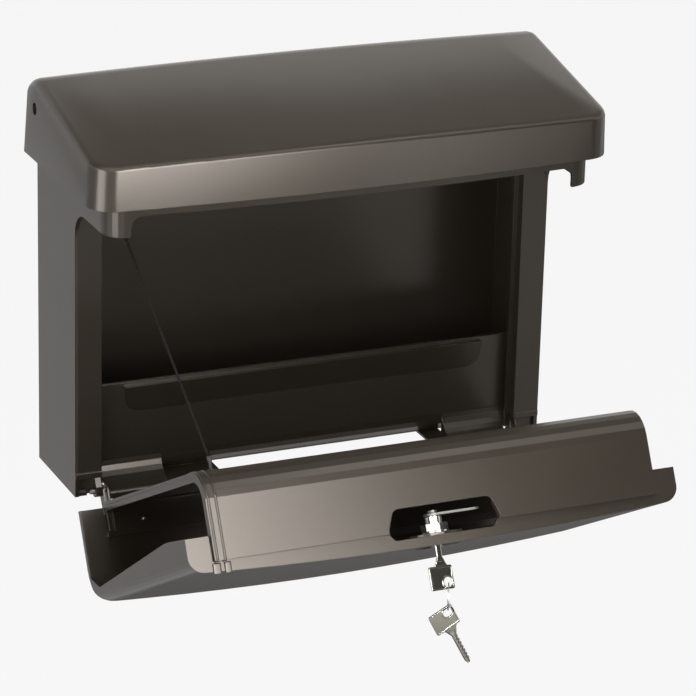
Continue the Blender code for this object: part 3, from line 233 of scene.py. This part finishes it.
def bronze_plastic():
    """Bronze ABS, injection moulded in an eroded tool: satin, with a soft metallic sheen."""
    finish = bpy.context.scene.mailbox_finish
    rub_range = 0.02
    material, tree, shader = new_material("bronze_abs_moulded")
    place = add_node(tree, "TexCoord").outputs["Object"]
    # Pigment flow shows as slow changes of tone, tens of millimetres long
    flow = add_node(tree, "TexNoise", inputs={
        "Vector": place, "Scale": per_metre(90), "Detail": 3, "Roughness": 0.5})
    tone = add_node(tree, "Mix", {"data_type": "RGBA"}, {
        "Factor": flow.outputs["Fac"], "A": (*finish.plastic, 1), "B": (*finish.plastic_dark, 1)})
    # Metal flakes are 0.1 mm across; they are drawn at 0.7 mm so that they show at all,
    # and change the tone by two hundredths
    flakes = add_node(tree, "TexVoronoi", inputs={"Vector": place, "Scale": per_metre(0.7)})
    sparkle = add_node(tree, "MapRange", inputs={
        "Value": flakes.outputs["Color"], "To Min": 0.98, "To Max": 1.02})
    shade = add_node(tree, "Mix", {"data_type": "RGBA", "blend_type": "MULTIPLY"}, {
        "Factor": 1.0, "A": tone.outputs["Result"], "B": sparkle.outputs["Result"]})
    # The eroded grain is 0.8 mm wide and a few hundredths deep
    grain = add_node(tree, "TexNoise", inputs={
        "Vector": place, "Scale": per_metre(0.8), "Detail": 2})
    rub = add_node(tree, "TexNoise", inputs={
        "Vector": place, "Scale": per_metre(35), "Detail": 4})
    satin = add_node(tree, "MapRange", inputs={
        "Value": rub.outputs["Fac"], "To Min": finish.plastic_roughness - rub_range,
        "To Max": finish.plastic_roughness + rub_range})
    # Moulded edges are rounded by 0.6 mm
    edge = add_node(tree, "Bevel", {"samples": 4}, {"Radius": 0.6 * MILLIMETRE})
    bump = add_bump(tree, grain.outputs["Fac"], 0.12, 0.03, edge)
    shader.inputs["Metallic"].default_value = 0.20
    shader.inputs["IOR"].default_value = 1.5
    tree.links.new(shade.outputs["Result"], shader.inputs["Base Color"])
    tree.links.new(satin.outputs["Result"], shader.inputs["Roughness"])
    tree.links.new(bump, shader.inputs["Normal"])
    return material


def plated_metal(name, colour, low, high, edge_radius):
    """Plated metal: polishing lines that change its roughness, over edges rounded by a radius."""
    material, tree, shader = new_material(name)
    place = add_node(tree, "TexCoord").outputs["Object"]
    stretched = add_node(tree, "Mapping", inputs={"Vector": place, "Scale": (1, 6, 1)})
    lines = add_node(tree, "TexNoise", inputs={
        "Vector": stretched.outputs["Vector"], "Scale": per_metre(1.2), "Detail": 4})
    polish = add_node(tree, "MapRange", inputs={
        "Value": lines.outputs["Fac"], "To Min": low, "To Max": high})
    edge = add_node(tree, "Bevel", {"samples": 4}, {"Radius": edge_radius})
    bump = add_bump(tree, lines.outputs["Fac"], 0.2, 0.02, edge)
    shader.inputs["Base Color"].default_value = (*colour, 1)
    shader.inputs["Metallic"].default_value = 1
    tree.links.new(polish.outputs["Result"], shader.inputs["Roughness"])
    tree.links.new(bump, shader.inputs["Normal"])
    return material


def chrome():
    """Nickel and chrome plating on zinc: bright, mirror-like, with faint polishing lines."""
    colour = bpy.context.scene.mailbox_finish.chrome
    return plated_metal("chrome_plated_zinc", colour, 0.10, 0.24, 0.2 * MILLIMETRE)


def nickel_silver():
    """Nickel silver, stamped and tumbled: warm pale grey, softer than chrome."""
    colour = bpy.context.scene.mailbox_finish.nickel
    return plated_metal("stamped_nickel_silver", colour, 0.12, 0.18, 0.15 * MILLIMETRE)


def zinc():
    """Zinc-plated steel: grey, duller than the chrome."""
    colour = bpy.context.scene.mailbox_finish.zinc
    return plated_metal("zinc_plated_steel", colour, 0.42, 0.58, 0.2 * MILLIMETRE)


def black_plastic():
    """Black polyamide, moulded: matt with a fine grain."""
    material, tree, shader = new_material("black_polyamide_moulded")
    place = add_node(tree, "TexCoord").outputs["Object"]
    grain = add_node(tree, "TexNoise", inputs={
        "Vector": place, "Scale": per_metre(0.6), "Detail": 2})
    bump = add_bump(tree, grain.outputs["Fac"], 0.3, 0.03)
    shader.inputs["Base Color"].default_value = (*linear("#1b1a19"), 1)
    shader.inputs["Roughness"].default_value = 0.55
    tree.links.new(bump, shader.inputs["Normal"])
    return material


def braided_cord():
    """Black polyester braid: dull, with a painted highlight that makes its raised crossings paler.
    """
    finish = bpy.context.scene.mailbox_finish
    material, tree, shader = new_material("black_polyester_braid")
    uv = add_node(tree, "UVMap", {"uv_map": "braid"})
    # Fine threads run along the braid; the mesh says where two strands cross, and there a painted
    # highlight makes the colour paler
    threads = add_node(tree, "TexWave", {"wave_type": "BANDS", "bands_direction": "DIAGONAL"}, {
        "Vector": uv.outputs["UV"], "Scale": 9.0, "Distortion": 1.5, "Detail": 1})
    crossing = add_node(tree, "Attribute", {"attribute_name": "thread_top"})
    threads_and_highlight = add_node(tree, "Math", {"operation": "MULTIPLY_ADD"}, {
        0: threads.outputs["Fac"], 1: 0.15, 2: crossing.outputs["Fac"]})
    tone = add_node(tree, "Mix", {"data_type": "RGBA"}, {
        "Factor": threads_and_highlight.outputs[0], "A": (*finish.cord, 1), "B": (*linear("#5d5c56"), 1)})
    shader.inputs["Roughness"].default_value = 0.9
    shader.inputs["Specular IOR Level"].default_value = 0.15
    tree.links.new(tone.outputs["Result"], shader.inputs["Base Color"])
    return material


def paint(material, *names):
    """Give CAD nodes a material."""
    for name in names:
        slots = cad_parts[name].data.materials
        slots.clear()
        slots.append(material)


def grid_mesh_data(name, points):
    """Mesh of a grid of points: rows run along and columns round; fans close its two ends."""
    rows, columns, _ = points.shape
    first = points[0].mean(axis=0)
    last = points[-1].mean(axis=0)
    places = np.vstack([points.reshape(-1, 3), first, last])
    row, column = np.meshgrid(np.arange(rows - 1), np.arange(columns), indexing="ij")
    after = (column + 1) % columns
    faces = np.stack([
        row * columns + column, row * columns + after,
        (row + 1) * columns + after, (row + 1) * columns + column], axis=-1).reshape(-1, 4)
    here = np.arange(columns)
    then = (here + 1) % columns
    start_fan = np.stack([then, here, np.full(columns, rows * columns)], axis=-1)
    base = (rows - 1) * columns
    end_fan = np.stack([base + here, base + then, np.full(columns, rows * columns + 1)], axis=-1)
    mesh = bpy.data.meshes.new(name)
    mesh.from_pydata(places.tolist(), [], faces.tolist() + start_fan.tolist() + end_fan.tolist())
    return mesh


def lay_uv(mesh, uv, name):
    """Give a grid mesh a UV map, one pair for each point of the grid."""
    layer = mesh.uv_layers.new(name=name)
    corners = np.empty(len(mesh.loops), dtype=np.int32)
    mesh.loops.foreach_get("vertex_index", corners)
    flat = np.vstack([uv.reshape(-1, 2), uv[0].mean(axis=0), uv[-1].mean(axis=0)])
    layer.data.foreach_set("uv", flat[corners].astype(np.float32).ravel())


def cross_frame(direction):
    """Return two unit vectors square to a direction and to each other."""
    direction = np.asarray(direction, float)
    side = np.cross(direction, (1.0, 0.0, 0.0))
    side /= np.linalg.norm(side)
    return side, np.cross(direction, side)


def link_mesh(name, mesh, material):
    """Link a mesh as a smooth object with one material."""
    mesh.materials.clear()
    mesh.materials.append(material)
    mesh.shade_smooth()
    return put_in_scene(bpy.data.objects.new(name, mesh))


def torus_mesh(name, points):
    """Mesh of a grid of points that closes on itself both ways: rows and columns both run round."""
    rows, columns, _ = points.shape
    row, column = np.meshgrid(np.arange(rows), np.arange(columns), indexing="ij")
    then = (row + 1) % rows
    after = (column + 1) % columns
    faces = np.stack([
        row * columns + column, row * columns + after,
        then * columns + after, then * columns + column], axis=-1).reshape(-1, 4)
    mesh = bpy.data.meshes.new(name)
    mesh.from_pydata(points.reshape(-1, 3).tolist(), [], faces.tolist())
    return mesh


def outward(mesh):
    """Weld the points of a closed mesh that lie in one place, and turn its faces outwards."""
    weld = 0.000002
    shape = bmesh.new()
    shape.from_mesh(mesh)
    bmesh.ops.remove_doubles(shape, verts=shape.verts, dist=weld)
    bmesh.ops.recalc_face_normals(shape, faces=shape.faces)
    shape.to_mesh(mesh)
    shape.free()
    return mesh


def opened(points):
    """Move points of the shut door to the open door: a turn about the hinge, then to the origin."""
    y = points[..., 1] - HINGE[0]
    z = points[..., 2] - HINGE[1]
    cosine = math.cos(OPEN_ANGLE)
    sine = math.sin(OPEN_ANGLE)
    return np.stack([points[..., 0], HINGE[0] + y * cosine - z * sine,
                     HINGE[1] + y * sine + z * cosine - CENTRE_HEIGHT], axis=-1)


class MAILBOX_OT_housing(bpy.types.Operator):
    """Finish the housing and the door in bronze plastic, and make the lid's hood and the beads"""

    bl_idname = "mailbox.housing"
    bl_label = "Mouldings"

    def execute(self, context):
        bronze = bronze_plastic()
        paint(bronze, "housing", "door_outer_skin", "door_inner_skin")
        make_hood(bronze)
        make_end_beads(bronze)
        return {"FINISHED"}


def make_hood(material):
    """Lid whose front band leans back: y grows in proportion to the height over the band's edge.

    The band's points, and those a little above its upper edge, get even normals.
    """
    lean = 0.0024
    front = -0.150
    reach = 0.012
    band_rise = 0.0035
    sharp_fold = math.radians(38)
    face_share = 90
    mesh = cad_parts["lid"].data.copy()
    # The CAD mesh brings its own normals, which don't fit the leaning band
    stored = mesh.attributes.get("custom_normal")
    if stored:
        mesh.attributes.remove(stored)
    outward(mesh)
    places = np.empty(len(mesh.vertices) * 3)
    mesh.vertices.foreach_get("co", places)
    places = places.reshape(-1, 3)
    height = np.clip((places[:, 2] - LID_BOTTOM) / (LID_FRONT_EDGE - LID_BOTTOM), 0, 1)
    near = np.clip((front - places[:, 1]) / reach, 0, 1)
    places[:, 1] += lean * height * near
    mesh.vertices.foreach_set("co", places.ravel())
    hood = link_mesh("leaning_hood", mesh, material)
    mesh.set_sharp_from_angle(angle=sharp_fold)
    band = hood.vertex_groups.new(name="front_band")
    low_front = (places[:, 2] < LID_FRONT_EDGE + band_rise) & (places[:, 1] < front + reach)
    band.add(np.flatnonzero(low_front).tolist(), 1.0, "REPLACE")
    even = hood.modifiers.new("even_normals", "WEIGHTED_NORMAL")
    even.vertex_group = "front_band"
    even.weight = face_share
    even.keep_sharp = True
    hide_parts("lid")
    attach(hood, "lid")


def make_end_beads(material):
    """Two raised beads on the roof at the inner skin's left end, each with a foot on the ledge."""
    for number, (x, (foot_x, half_width)) in enumerate(zip(BEAD_X, BEAD_FEET), start=1):
        name = "end_bead_%d" % number
        obj = link_mesh(name, joined(name, bead_mesh(x), foot_mesh(foot_x, half_width)), material)
        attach(obj, "door")


def squarish(columns):
    """Across and up of a unit superellipse: |x|^(1/p) is the turn's cosine, |z|^(1/p) its sine."""
    power = 0.3
    turn = np.linspace(0, math.tau, columns, endpoint=False)
    across = np.sign(np.cos(turn)) * np.abs(np.cos(turn)) ** power
    up = np.sign(np.sin(turn)) * np.abs(np.sin(turn)) ** power
    return across, up


def foot_mesh(x, half_width):
    """Foot of a bead: a squarish section carried along the ledge, drawn in at its two ends."""
    half_height, depth, edge = 0.0011, 0.0080, 0.0008
    end_scale, swell = 0.55, 0.45
    rows, columns = 24, 32
    along = np.linspace(0, 1, rows)
    shrink = np.clip(np.minimum(along, 1 - along) * depth / edge, 0, 1)
    scale = end_scale + swell * np.sqrt(1 - (1 - shrink) ** 2)
    across, up = squarish(columns)
    y = BEAD_END - FOOT_GAP - depth * along
    points = np.stack([
        x + scale[:, None] * (across * half_width),
        np.broadcast_to(y[:, None], (rows, columns)),
        LEDGE_TOP + scale[:, None] * (up * half_height)], axis=-1)
    return grid_mesh_data("bead_foot", opened(points))


def bead_mesh(x):
    """Bead that follows the roof: a flattened circle carried along the roof's section."""
    rows, columns = 90, 14
    flatness = 0.8
    arc = np.linspace(0, math.pi / 2, 16)
    path = np.vstack([
        [(SKIN_REAR, BEAD_START)],
        np.stack([SKIN_REAR - SKIN_CORNER + SKIN_CORNER * np.cos(arc),
                  SKIN_TOP - SKIN_CORNER + SKIN_CORNER * np.sin(arc)], axis=-1),
        [(BEAD_END, SKIN_TOP)]])
    step = np.linalg.norm(np.diff(path, axis=0), axis=1)
    along = np.concatenate([[0], np.cumsum(step)])
    spread = np.linspace(0, along[-1], rows)
    y = np.interp(spread, along, path[:, 0])
    z = np.interp(spread, along, path[:, 1])
    dy = np.gradient(y)
    dz = np.gradient(z)
    length = np.hypot(dy, dz)
    out_y = dz / length
    out_z = -dy / length
    turn = np.linspace(0, math.tau, columns, endpoint=False)
    across = BEAD_RADIUS * np.cos(turn)
    lift = BEAD_RADIUS * np.sin(turn) * flatness
    points = np.stack([
        x + np.broadcast_to(across, (rows, columns)),
        y[:, None] + lift * out_y[:, None],
        z[:, None] + lift * out_z[:, None]], axis=-1)
    return grid_mesh_data("bead", opened(points))


class MAILBOX_OT_hardware(bpy.types.Operator):
    """Finish the lock, pins, posts and screws, and make the keys and their ring"""

    bl_idname = "mailbox.hardware"
    bl_label = "Lock, keys, pins and screws"

    def execute(self, context):
        bright = chrome()
        paint(bright, "lock_body", "lock_washer", "lock_nut", "lock_plug")
        make_keys(nickel_silver(), bright)
        paint(zinc(), "lock_cam", "cam_screw", "door_hinge_pin_left", "door_hinge_pin_right",
              "door_screw_1", "door_screw_2", "door_screw_3", "door_screw_4")
        paint(black_plastic(), "lid_pin_left", "lid_pin_right",
              "cord_post_housing", "cord_post_door")
        return {"FINISHED"}


def around_hole(turn):
    """Distance at each turn from the key's hole to the outline, a square with round corners."""
    left, right, rear, front = -0.0107, 0.0083, -0.0205, -0.0373
    corner = 0.0012
    samples = 4000
    arc = np.linspace(0, math.pi / 2, 14)
    wide = np.array([right - corner, left + corner])
    deep = np.array([rear - corner, front + corner])
    x = np.concatenate([wide[0] + corner * np.cos(arc), wide[1] - corner * np.sin(arc),
                        wide[1] - corner * np.cos(arc), wide[0] + corner * np.sin(arc)])
    y = np.concatenate([deep[0] + corner * np.sin(arc), deep[0] + corner * np.cos(arc),
                        deep[1] - corner * np.sin(arc), deep[1] - corner * np.cos(arc)])
    x = np.append(x, x[0])
    y = np.append(y, y[0])
    step = np.linspace(0, len(x) - 1, samples)
    x = np.interp(step, np.arange(len(x)), x) - KEY_HOLE[0]
    y = np.interp(step, np.arange(len(y)), y) - KEY_HOLE[1]
    angle = np.arctan2(y, x) % math.tau
    order = np.argsort(angle)
    return np.interp(turn, angle[order], np.hypot(x, y)[order], period=math.tau)


def key_bow():
    """Bow of a key: rays from its hole to its outline, sunk between a raised rim and a collar.

    On each ray the thickness goes from the hole's edge over the collar, down to the sunk face and
    up to the rim. Rows are rays, and columns run once round the ray's section.
    """
    rim, sunk, soft = 0.0007, 0.00045, 0.00012
    rays = 260
    turn = np.linspace(0, math.tau, rays, endpoint=False)
    reach = around_hole(turn)[:, None] - KEY_HOLE_RADIUS
    near = np.array([0.0, soft, 0.0009, 0.0011])
    far = np.array([0.0016, 0.0014, soft, 0.0])
    out = np.concatenate([np.broadcast_to(near, (rays, len(near))), reach - far], axis=1)
    height = np.array([rim - soft, rim, rim, sunk, sunk, rim, rim, rim - soft])
    radius = KEY_HOLE_RADIUS + np.concatenate([out, out[:, ::-1]], axis=1)
    lift = np.concatenate([height, -height[::-1]])
    x = KEY_HOLE[0] + radius * np.cos(turn)[:, None]
    y = KEY_HOLE[1] + radius * np.sin(turn)[:, None]
    return np.stack([x, y, np.broadcast_to(lift, x.shape)], axis=-1)


def key_blade(reach, bitted):
    """Blade of a key: a squarish section carried along, with shoulders, a groove and cut bits.

    The half width goes from station to station. A clipped sine squared cuts the bits into one edge,
    and a flat-topped bell across the blade sinks the groove.
    """
    half_thickness = 0.00062
    taper = 0.003
    stations = np.array([
        -0.0215, -0.0200, -0.0190, -0.0182, -0.0150, -0.0142, reach - taper, reach])
    half_widths = np.array([0.0052, 0.0052, 0.0042, 0.0040, 0.0026, 0.0021, 0.0021, 0.0009])
    bits_start, bit_pitch, bit_depth, blunt_tip = -0.012, 0.0034, 0.00075, 0.002
    bit_steepness, bit_shift = 1.6, 0.5
    groove_start, groove_depth = -0.0175, 0.00022
    groove_middle, groove_width = 0.15, 0.28
    rows, columns = 170, 40
    y = np.linspace(stations[0], reach, rows)
    half = np.interp(y, stations, half_widths)
    wave = np.sin((y - bits_start) / bit_pitch * math.tau / 2) ** 2
    cuts = bit_depth * np.clip(bit_steepness * wave - bit_shift, 0, 1)
    cuts = cuts * (y > bits_start) * (y < reach - blunt_tip) * bitted
    across, up = squarish(columns)
    wide = half[:, None] * across - np.maximum(across, 0) * cuts[:, None]
    bell = np.exp(-((across - groove_middle) / groove_width) ** 4)
    lift = up * (half_thickness - groove_depth * bell * (y > groove_start)[:, None])
    return np.stack([wide, np.broadcast_to(y[:, None], wide.shape), lift], axis=-1)


def joined(name, *meshes):
    """Put several closed meshes into one, with their faces turned outwards."""
    shape = bmesh.new()
    for mesh in meshes:
        shape.from_mesh(mesh)
        bpy.data.meshes.remove(mesh)
    whole = bpy.data.meshes.new(name)
    shape.to_mesh(whole)
    shape.free()
    return outward(whole)


def key_mesh(name, place, reach, bitted):
    """One key, drawn with its blade along +Y from its shoulder, then put in its place."""
    return joined(name, torus_mesh(name + "_bow", place(key_bow())),
                  grid_mesh_data(name + "_blade", place(key_blade(reach, bitted))))


def in_lock(points):
    """Key in the lock: twisted in the keyway's slack, then opened with the door."""
    cosine, sine = math.cos(KEY_TWIST), math.sin(KEY_TWIST)
    x, y, z = points[..., 0], points[..., 1], points[..., 2]
    return opened(np.stack([LOCK_X + x * cosine + z * sine, LOCK_FLOOR + y,
                            LOCK_Z - x * sine + z * cosine], axis=-1))


def ring_middle():
    """Middle of the ring that hangs from the lower edge of the key's hole."""
    hold = LOCK_FLOOR + KEY_HOLE[1] - (KEY_HOLE_RADIUS - RING_WIRE - RING_SLACK)
    top = opened(np.array([LOCK_X + KEY_HOLE[0], hold, LOCK_Z]))
    return top - np.array([0, 0, RING_RADIUS])


def hanging(points):
    """Spare key: stood upright about its hole, tilted by its own weight and hung in the ring."""
    x = points[..., 0] - KEY_HOLE[0]
    y = points[..., 2]
    z = -(points[..., 1] - KEY_HOLE[1])
    cosine, sine = math.cos(SPARE_TILT), math.sin(SPARE_TILT)
    below = RING_RADIUS + KEY_HOLE_RADIUS - RING_WIRE - SPARE_SLACK
    return ring_middle() - np.array([0, 0, below]) + np.stack(
        [x * cosine + z * sine, y, -x * sine + z * cosine], axis=-1)


def ring_mesh():
    """Wire ring, a circle carried round a circle; its wire is thinner than the solid's."""
    wire = 0.0004
    rows, columns = 120, 14
    turn = np.linspace(0, math.tau, rows, endpoint=False)[:, None]
    round_wire = np.linspace(0, math.tau, columns, endpoint=False)[None, :]
    radius = RING_RADIUS + wire * np.cos(round_wire)
    flat = radius * np.cos(turn)
    up = radius * np.sin(turn)
    side = np.broadcast_to(wire * np.sin(round_wire), flat.shape)
    points = np.stack([
        flat * math.cos(RING_TURN) - side * math.sin(RING_TURN),
        flat * math.sin(RING_TURN) + side * math.cos(RING_TURN), up], axis=-1)
    return outward(torus_mesh("split_ring", points + ring_middle()))


def make_keys(nickel, bright):
    """The key in the lock, the ring and the spare key, in place of their plain solids."""
    sharp_fold = math.radians(35)
    home = key_mesh("lock_key", in_lock, KEY_HOME_REACH, bitted=0)
    spare = key_mesh("hanging_key", hanging, SPARE_REACH, bitted=1)
    pieces = (("lock_key", home, nickel, "key"), ("thin_ring", ring_mesh(), bright, "key_ring"),
              ("hanging_key", spare, nickel, "spare_key"))
    for name, mesh, material, node in pieces:
        obj = link_mesh(name, mesh, material)
        mesh.set_sharp_from_angle(angle=sharp_fold)
        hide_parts(node)
        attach(obj, node)


class MAILBOX_OT_cord(bpy.types.Operator):
    """Make the braided check cord between its two posts"""

    bl_idname = "mailbox.cord"
    bl_label = "Check cord"

    def execute(self, context):
        """Carry a circle along a straight line; its radius swells where a strand runs.

        The radius is r - d + d * max(cos(n(a - b)), cos(n(a + b))): d is the relief, n the number
        of strands, a the turn round the cord and b the strands' twist along it.
        """
        relief = 0.00016
        repeats = 4
        rows, columns = 420, 36
        sizes = context.scene.mailbox_sizes
        start = np.array(CORD_TOP)
        end = np.array(CORD_FOOT)
        along = (end - start) / np.linalg.norm(end - start)
        start = start + along * CORD_CLEAR
        end = end - along * CORD_CLEAR
        length = float(np.linalg.norm(end - start))
        t = np.linspace(0, 1, rows)[:, None]
        turn = np.linspace(0, math.tau, columns, endpoint=False)[None, :]
        twist = math.tau * length / sizes.strand_pitch * t
        left = np.cos(sizes.strands * (turn - twist))
        right = np.cos(sizes.strands * (turn + twist))
        radius = sizes.cord_diameter / 2 - relief + relief * np.maximum(left, right)
        side, other = cross_frame(along)
        middle = start + (end - start) * t[:, :, None]
        points = (middle + radius[:, :, None] * (np.cos(turn)[:, :, None] * side
                                                 + np.sin(turn)[:, :, None] * other))
        uv = np.stack(np.broadcast_arrays(
            turn / math.tau * repeats, t * length / sizes.strand_pitch * repeats), axis=-1)
        mesh = grid_mesh_data("braided_cord", points)
        lay_uv(mesh, uv, "braid")
        # Where two strands cross, the mesh carries a painted highlight for the braid's colour
        tops = np.clip(left * right, 0, 1) ** 2
        raised = mesh.attributes.new("thread_top", "FLOAT", "POINT")
        raised.data.foreach_set("value", np.append(tops.ravel(), (0, 0)).astype(np.float32))
        cord = link_mesh("braided_cord", mesh, braided_cord())
        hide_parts("check_cord")
        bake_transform(cord)
        return {"FINISHED"}


class MAILBOX_OT_stage(bpy.types.Operator):
    """Set the floor, the white background, the soft studio lights, the cards and the camera"""

    bl_idname = "mailbox.stage"
    bl_label = "Stage"

    def execute(self, context):
        scene = context.scene
        scene.view_settings.view_transform = "Standard"
        make_floor()
        make_background(scene)
        make_lights()
        make_cards()
        make_camera(scene)
        return {"FINISHED"}


def flat_stage(name, low, high, material):
    """Add a flat piece of the stage between two corners and return it."""
    mesh = bpy.data.meshes.new(name)
    mesh.from_pydata(flat_corners(low, high), [], [(0, 1, 2, 3)])
    mesh.materials.append(material)
    piece = put_in_scene(bpy.data.objects.new(name, mesh))
    return piece


def make_floor():
    """Wide pale floor well below the hanging mailbox; it keeps a faint shadow."""
    half = 6.0
    below = 0.45
    own_light = 0.9
    height = CAD_BOX[0][2] - below
    material, tree, shader = new_material("pale_floor")
    shader.inputs["Base Color"].default_value = (*linear("#f6f6f5"), 1)
    shader.inputs["Roughness"].default_value = 0.9
    share = add_node(tree, "Math", {"operation": "MULTIPLY"}, {
        0: seen_directly(tree), 1: own_light})
    glow = add_node(tree, "Emission", inputs={"Color": (1, 1, 1, 1), "Strength": 1.0})
    mixed = add_node(tree, "MixShader", inputs={
        0: share.outputs[0], 1: shader.outputs[0], 2: glow.outputs[0]})
    tree.links.new(mixed.outputs[0], tree.nodes["Material Output"].inputs["Surface"])
    flat_stage("floor", (-half, -half, height), (half, half, height), material)


def make_background(scene):
    """White where the camera, gloss or glass sees it, a soft grey light elsewhere."""
    ambient = 0.14
    world = bpy.data.worlds.new("studio")
    scene.world = world
    world.use_nodes = True
    tree = world.node_tree
    strength = add_node(tree, "MapRange", inputs={
        "Value": seen_directly(tree), "To Min": ambient, "To Max": 1.0})
    sky = tree.nodes["Background"]
    sky.inputs["Color"].default_value = (1, 1, 1, 1)
    tree.links.new(strength.outputs["Result"], sky.inputs["Strength"])


# Lights: name, place, width, height and watts
LIGHTS = [
    ("left_softbox", (-1.6, -1.5, 1.1), 1.2, 1.2, 2.5),
    ("top_softbox", (0.2, -0.5, 2.0), 1.4, 1.0, 16.0),
]

# Cards that only reflections see: name, low corner, high corner, brightness at the left and right
# edge. A card is flat along the one axis on which its two corners agree.
CARDS = [
    ("ceiling_card", (-2.5, -0.4, 1.6), (2.5, 1.5, 1.6), 0.26, 0.26),
    ("rear_floor_card", (-0.1, 0.1, -0.62), (2.5, 3.0, -0.62), 0.15, 0.15),
    ("left_floor_card", (-3.0, 0.1, -0.61), (-0.1, 4.0, -0.61), 0.58, 0.58),
    ("left_front_floor_card", (-0.5, -3.0, -0.61), (0.2, -0.2, -0.61), 0.12, 0.12),
    ("front_floor_card", (0.2, -3.0, -0.61), (1.3, -0.2, -0.61), 0.06, 0.92),
    ("right_front_floor_card", (1.3, -3.0, -0.61), (4.0, -0.2, -0.61), 0.30, 0.30),
    ("key_floor_card", (0.33, -1.36, -0.60), (0.56, -1.19, -0.60), 0.90, 0.90),
    ("front_low_fading_card", (0.42, -1.15, -0.08), (1.0, -1.15, 0.14), 3.0, 0.5),
    ("front_dark_card", (-0.6, -2.65, -0.6), (4.0, -2.65, 3.0), 0.05, 0.02),
    ("front_fading_card", (-0.22, -1.15, 0.0), (0.42, -1.15, 0.72), 23.0, 0.0),
    ("overhead_card", (-0.6, -1.4, 1.55), (0.5, -0.42, 1.55), 2.0, 1.0),
    ("left_card", (-2.0, -2.0, -0.6), (-2.0, -0.5, 0.9), 6.5, 6.5),
]


def make_lights():
    """Soft area lights that face the object's middle."""
    low, high = (Vector(corner) for corner in CAD_BOX)
    middle = (low + high) / 2
    for name, place, width, height, watts in LIGHTS:
        light = bpy.data.lights.new(name, "AREA")
        light.shape = "RECTANGLE"
        light.size = width
        light.size_y = height
        light.energy = watts
        lamp = put_in_scene(bpy.data.objects.new(name, light))
        lamp.location = place
        lamp.rotation_euler = (middle - Vector(place)).to_track_quat("-Z", "Y").to_euler()
        lamp.visible_camera = False


def flat_corners(low, high):
    """Four corners, in order round, of a box that has no thickness along one axis."""
    flat = [axis for axis in range(3) if low[axis] == high[axis]][0]
    first, second = [axis for axis in range(3) if axis != flat]
    corners = []
    for far_first, far_second in ((0, 0), (1, 0), (1, 1), (0, 1)):
        corner = list(low)
        corner[first] = (low, high)[far_first][first]
        corner[second] = (low, high)[far_second][second]
        corners.append(tuple(corner))
    return corners


def make_cards():
    """Flat cards that brighten or dim what the plastic mirrors, as reflectors and flags do."""
    hidden_from = ("camera", "diffuse", "transmission", "volume_scatter", "shadow")
    for name, low, high, left, right in CARDS:
        material, tree, shader = new_material(name)
        tree.nodes.remove(shader)
        place = add_node(tree, "SeparateXYZ", inputs={
            "Vector": add_node(tree, "TexCoord").outputs["Object"]})
        fade = add_node(tree, "MapRange", inputs={
            "Value": place.outputs["X"], "From Min": low[0], "From Max": high[0],
            "To Min": left, "To Max": right})
        glow = add_node(tree, "Emission", inputs={
            "Color": (1, 1, 1, 1), "Strength": fade.outputs["Result"]})
        tree.links.new(glow.outputs[0], tree.nodes["Material Output"].inputs["Surface"])
        card = flat_stage(name, low, high, material)
        for ray in hidden_from:
            setattr(card, "visible_" + ray, False)


def make_camera(scene):
    """Camera at the photograph's viewing angle, rolled a little as there."""
    camera = bpy.data.objects.new("camera", bpy.data.cameras.new("camera"))
    camera.data.lens = CAMERA_LENS
    camera.data.sensor_width = SENSOR_WIDTH
    turn = (Matrix.Rotation(math.radians(CAMERA_AZIMUTH), 4, "Z")
            @ Matrix.Rotation(math.radians(90 - CAMERA_ELEVATION), 4, "X")
            @ Matrix.Rotation(math.radians(CAMERA_ROLL), 4, "Z"))
    back = turn @ Vector((0, 0, 1))
    camera.matrix_world = Matrix.Translation(Vector(CAMERA_AIM) + back * CAMERA_DISTANCE) @ turn
    scene.camera = put_in_scene(camera)


OPERATORS = (MAILBOX_OT_housing, MAILBOX_OT_hardware, MAILBOX_OT_cord, MAILBOX_OT_stage)


class MAILBOX_PT_panel(bpy.types.Panel):
    """Sidebar panel that lists the pieces."""

    bl_idname = "MAILBOX_PT_panel"
    bl_label = "Mailbox"
    bl_space_type = "VIEW_3D"
    bl_region_type = "UI"
    bl_category = "Mailbox"

    def draw(self, context):
        for operator in OPERATORS:
            self.layout.operator(operator.bl_idname)
        for group in (context.scene.mailbox_finish, context.scene.mailbox_sizes):
            for name in group.__annotations__:
                self.layout.prop(group, name)


CLASSES = (MailboxFinish, MailboxSizes, *OPERATORS, MAILBOX_PT_panel)


def register():
    """Register the add-on's classes and its settings."""
    for made in CLASSES:
        bpy.utils.register_class(made)
    bpy.types.Scene.mailbox_finish = PointerProperty(type=MailboxFinish)
    bpy.types.Scene.mailbox_sizes = PointerProperty(type=MailboxSizes)


def unregister():
    """Remove the add-on's settings and classes."""
    del bpy.types.Scene.mailbox_sizes
    del bpy.types.Scene.mailbox_finish
    for made in reversed(CLASSES):
        bpy.utils.unregister_class(made)


def main():
    """Build every piece."""
    register()
    bpy.ops.mailbox.housing()
    bpy.ops.mailbox.hardware()
    bpy.ops.mailbox.cord()
    bpy.ops.mailbox.stage()


if __name__ == "__main__":
    main()
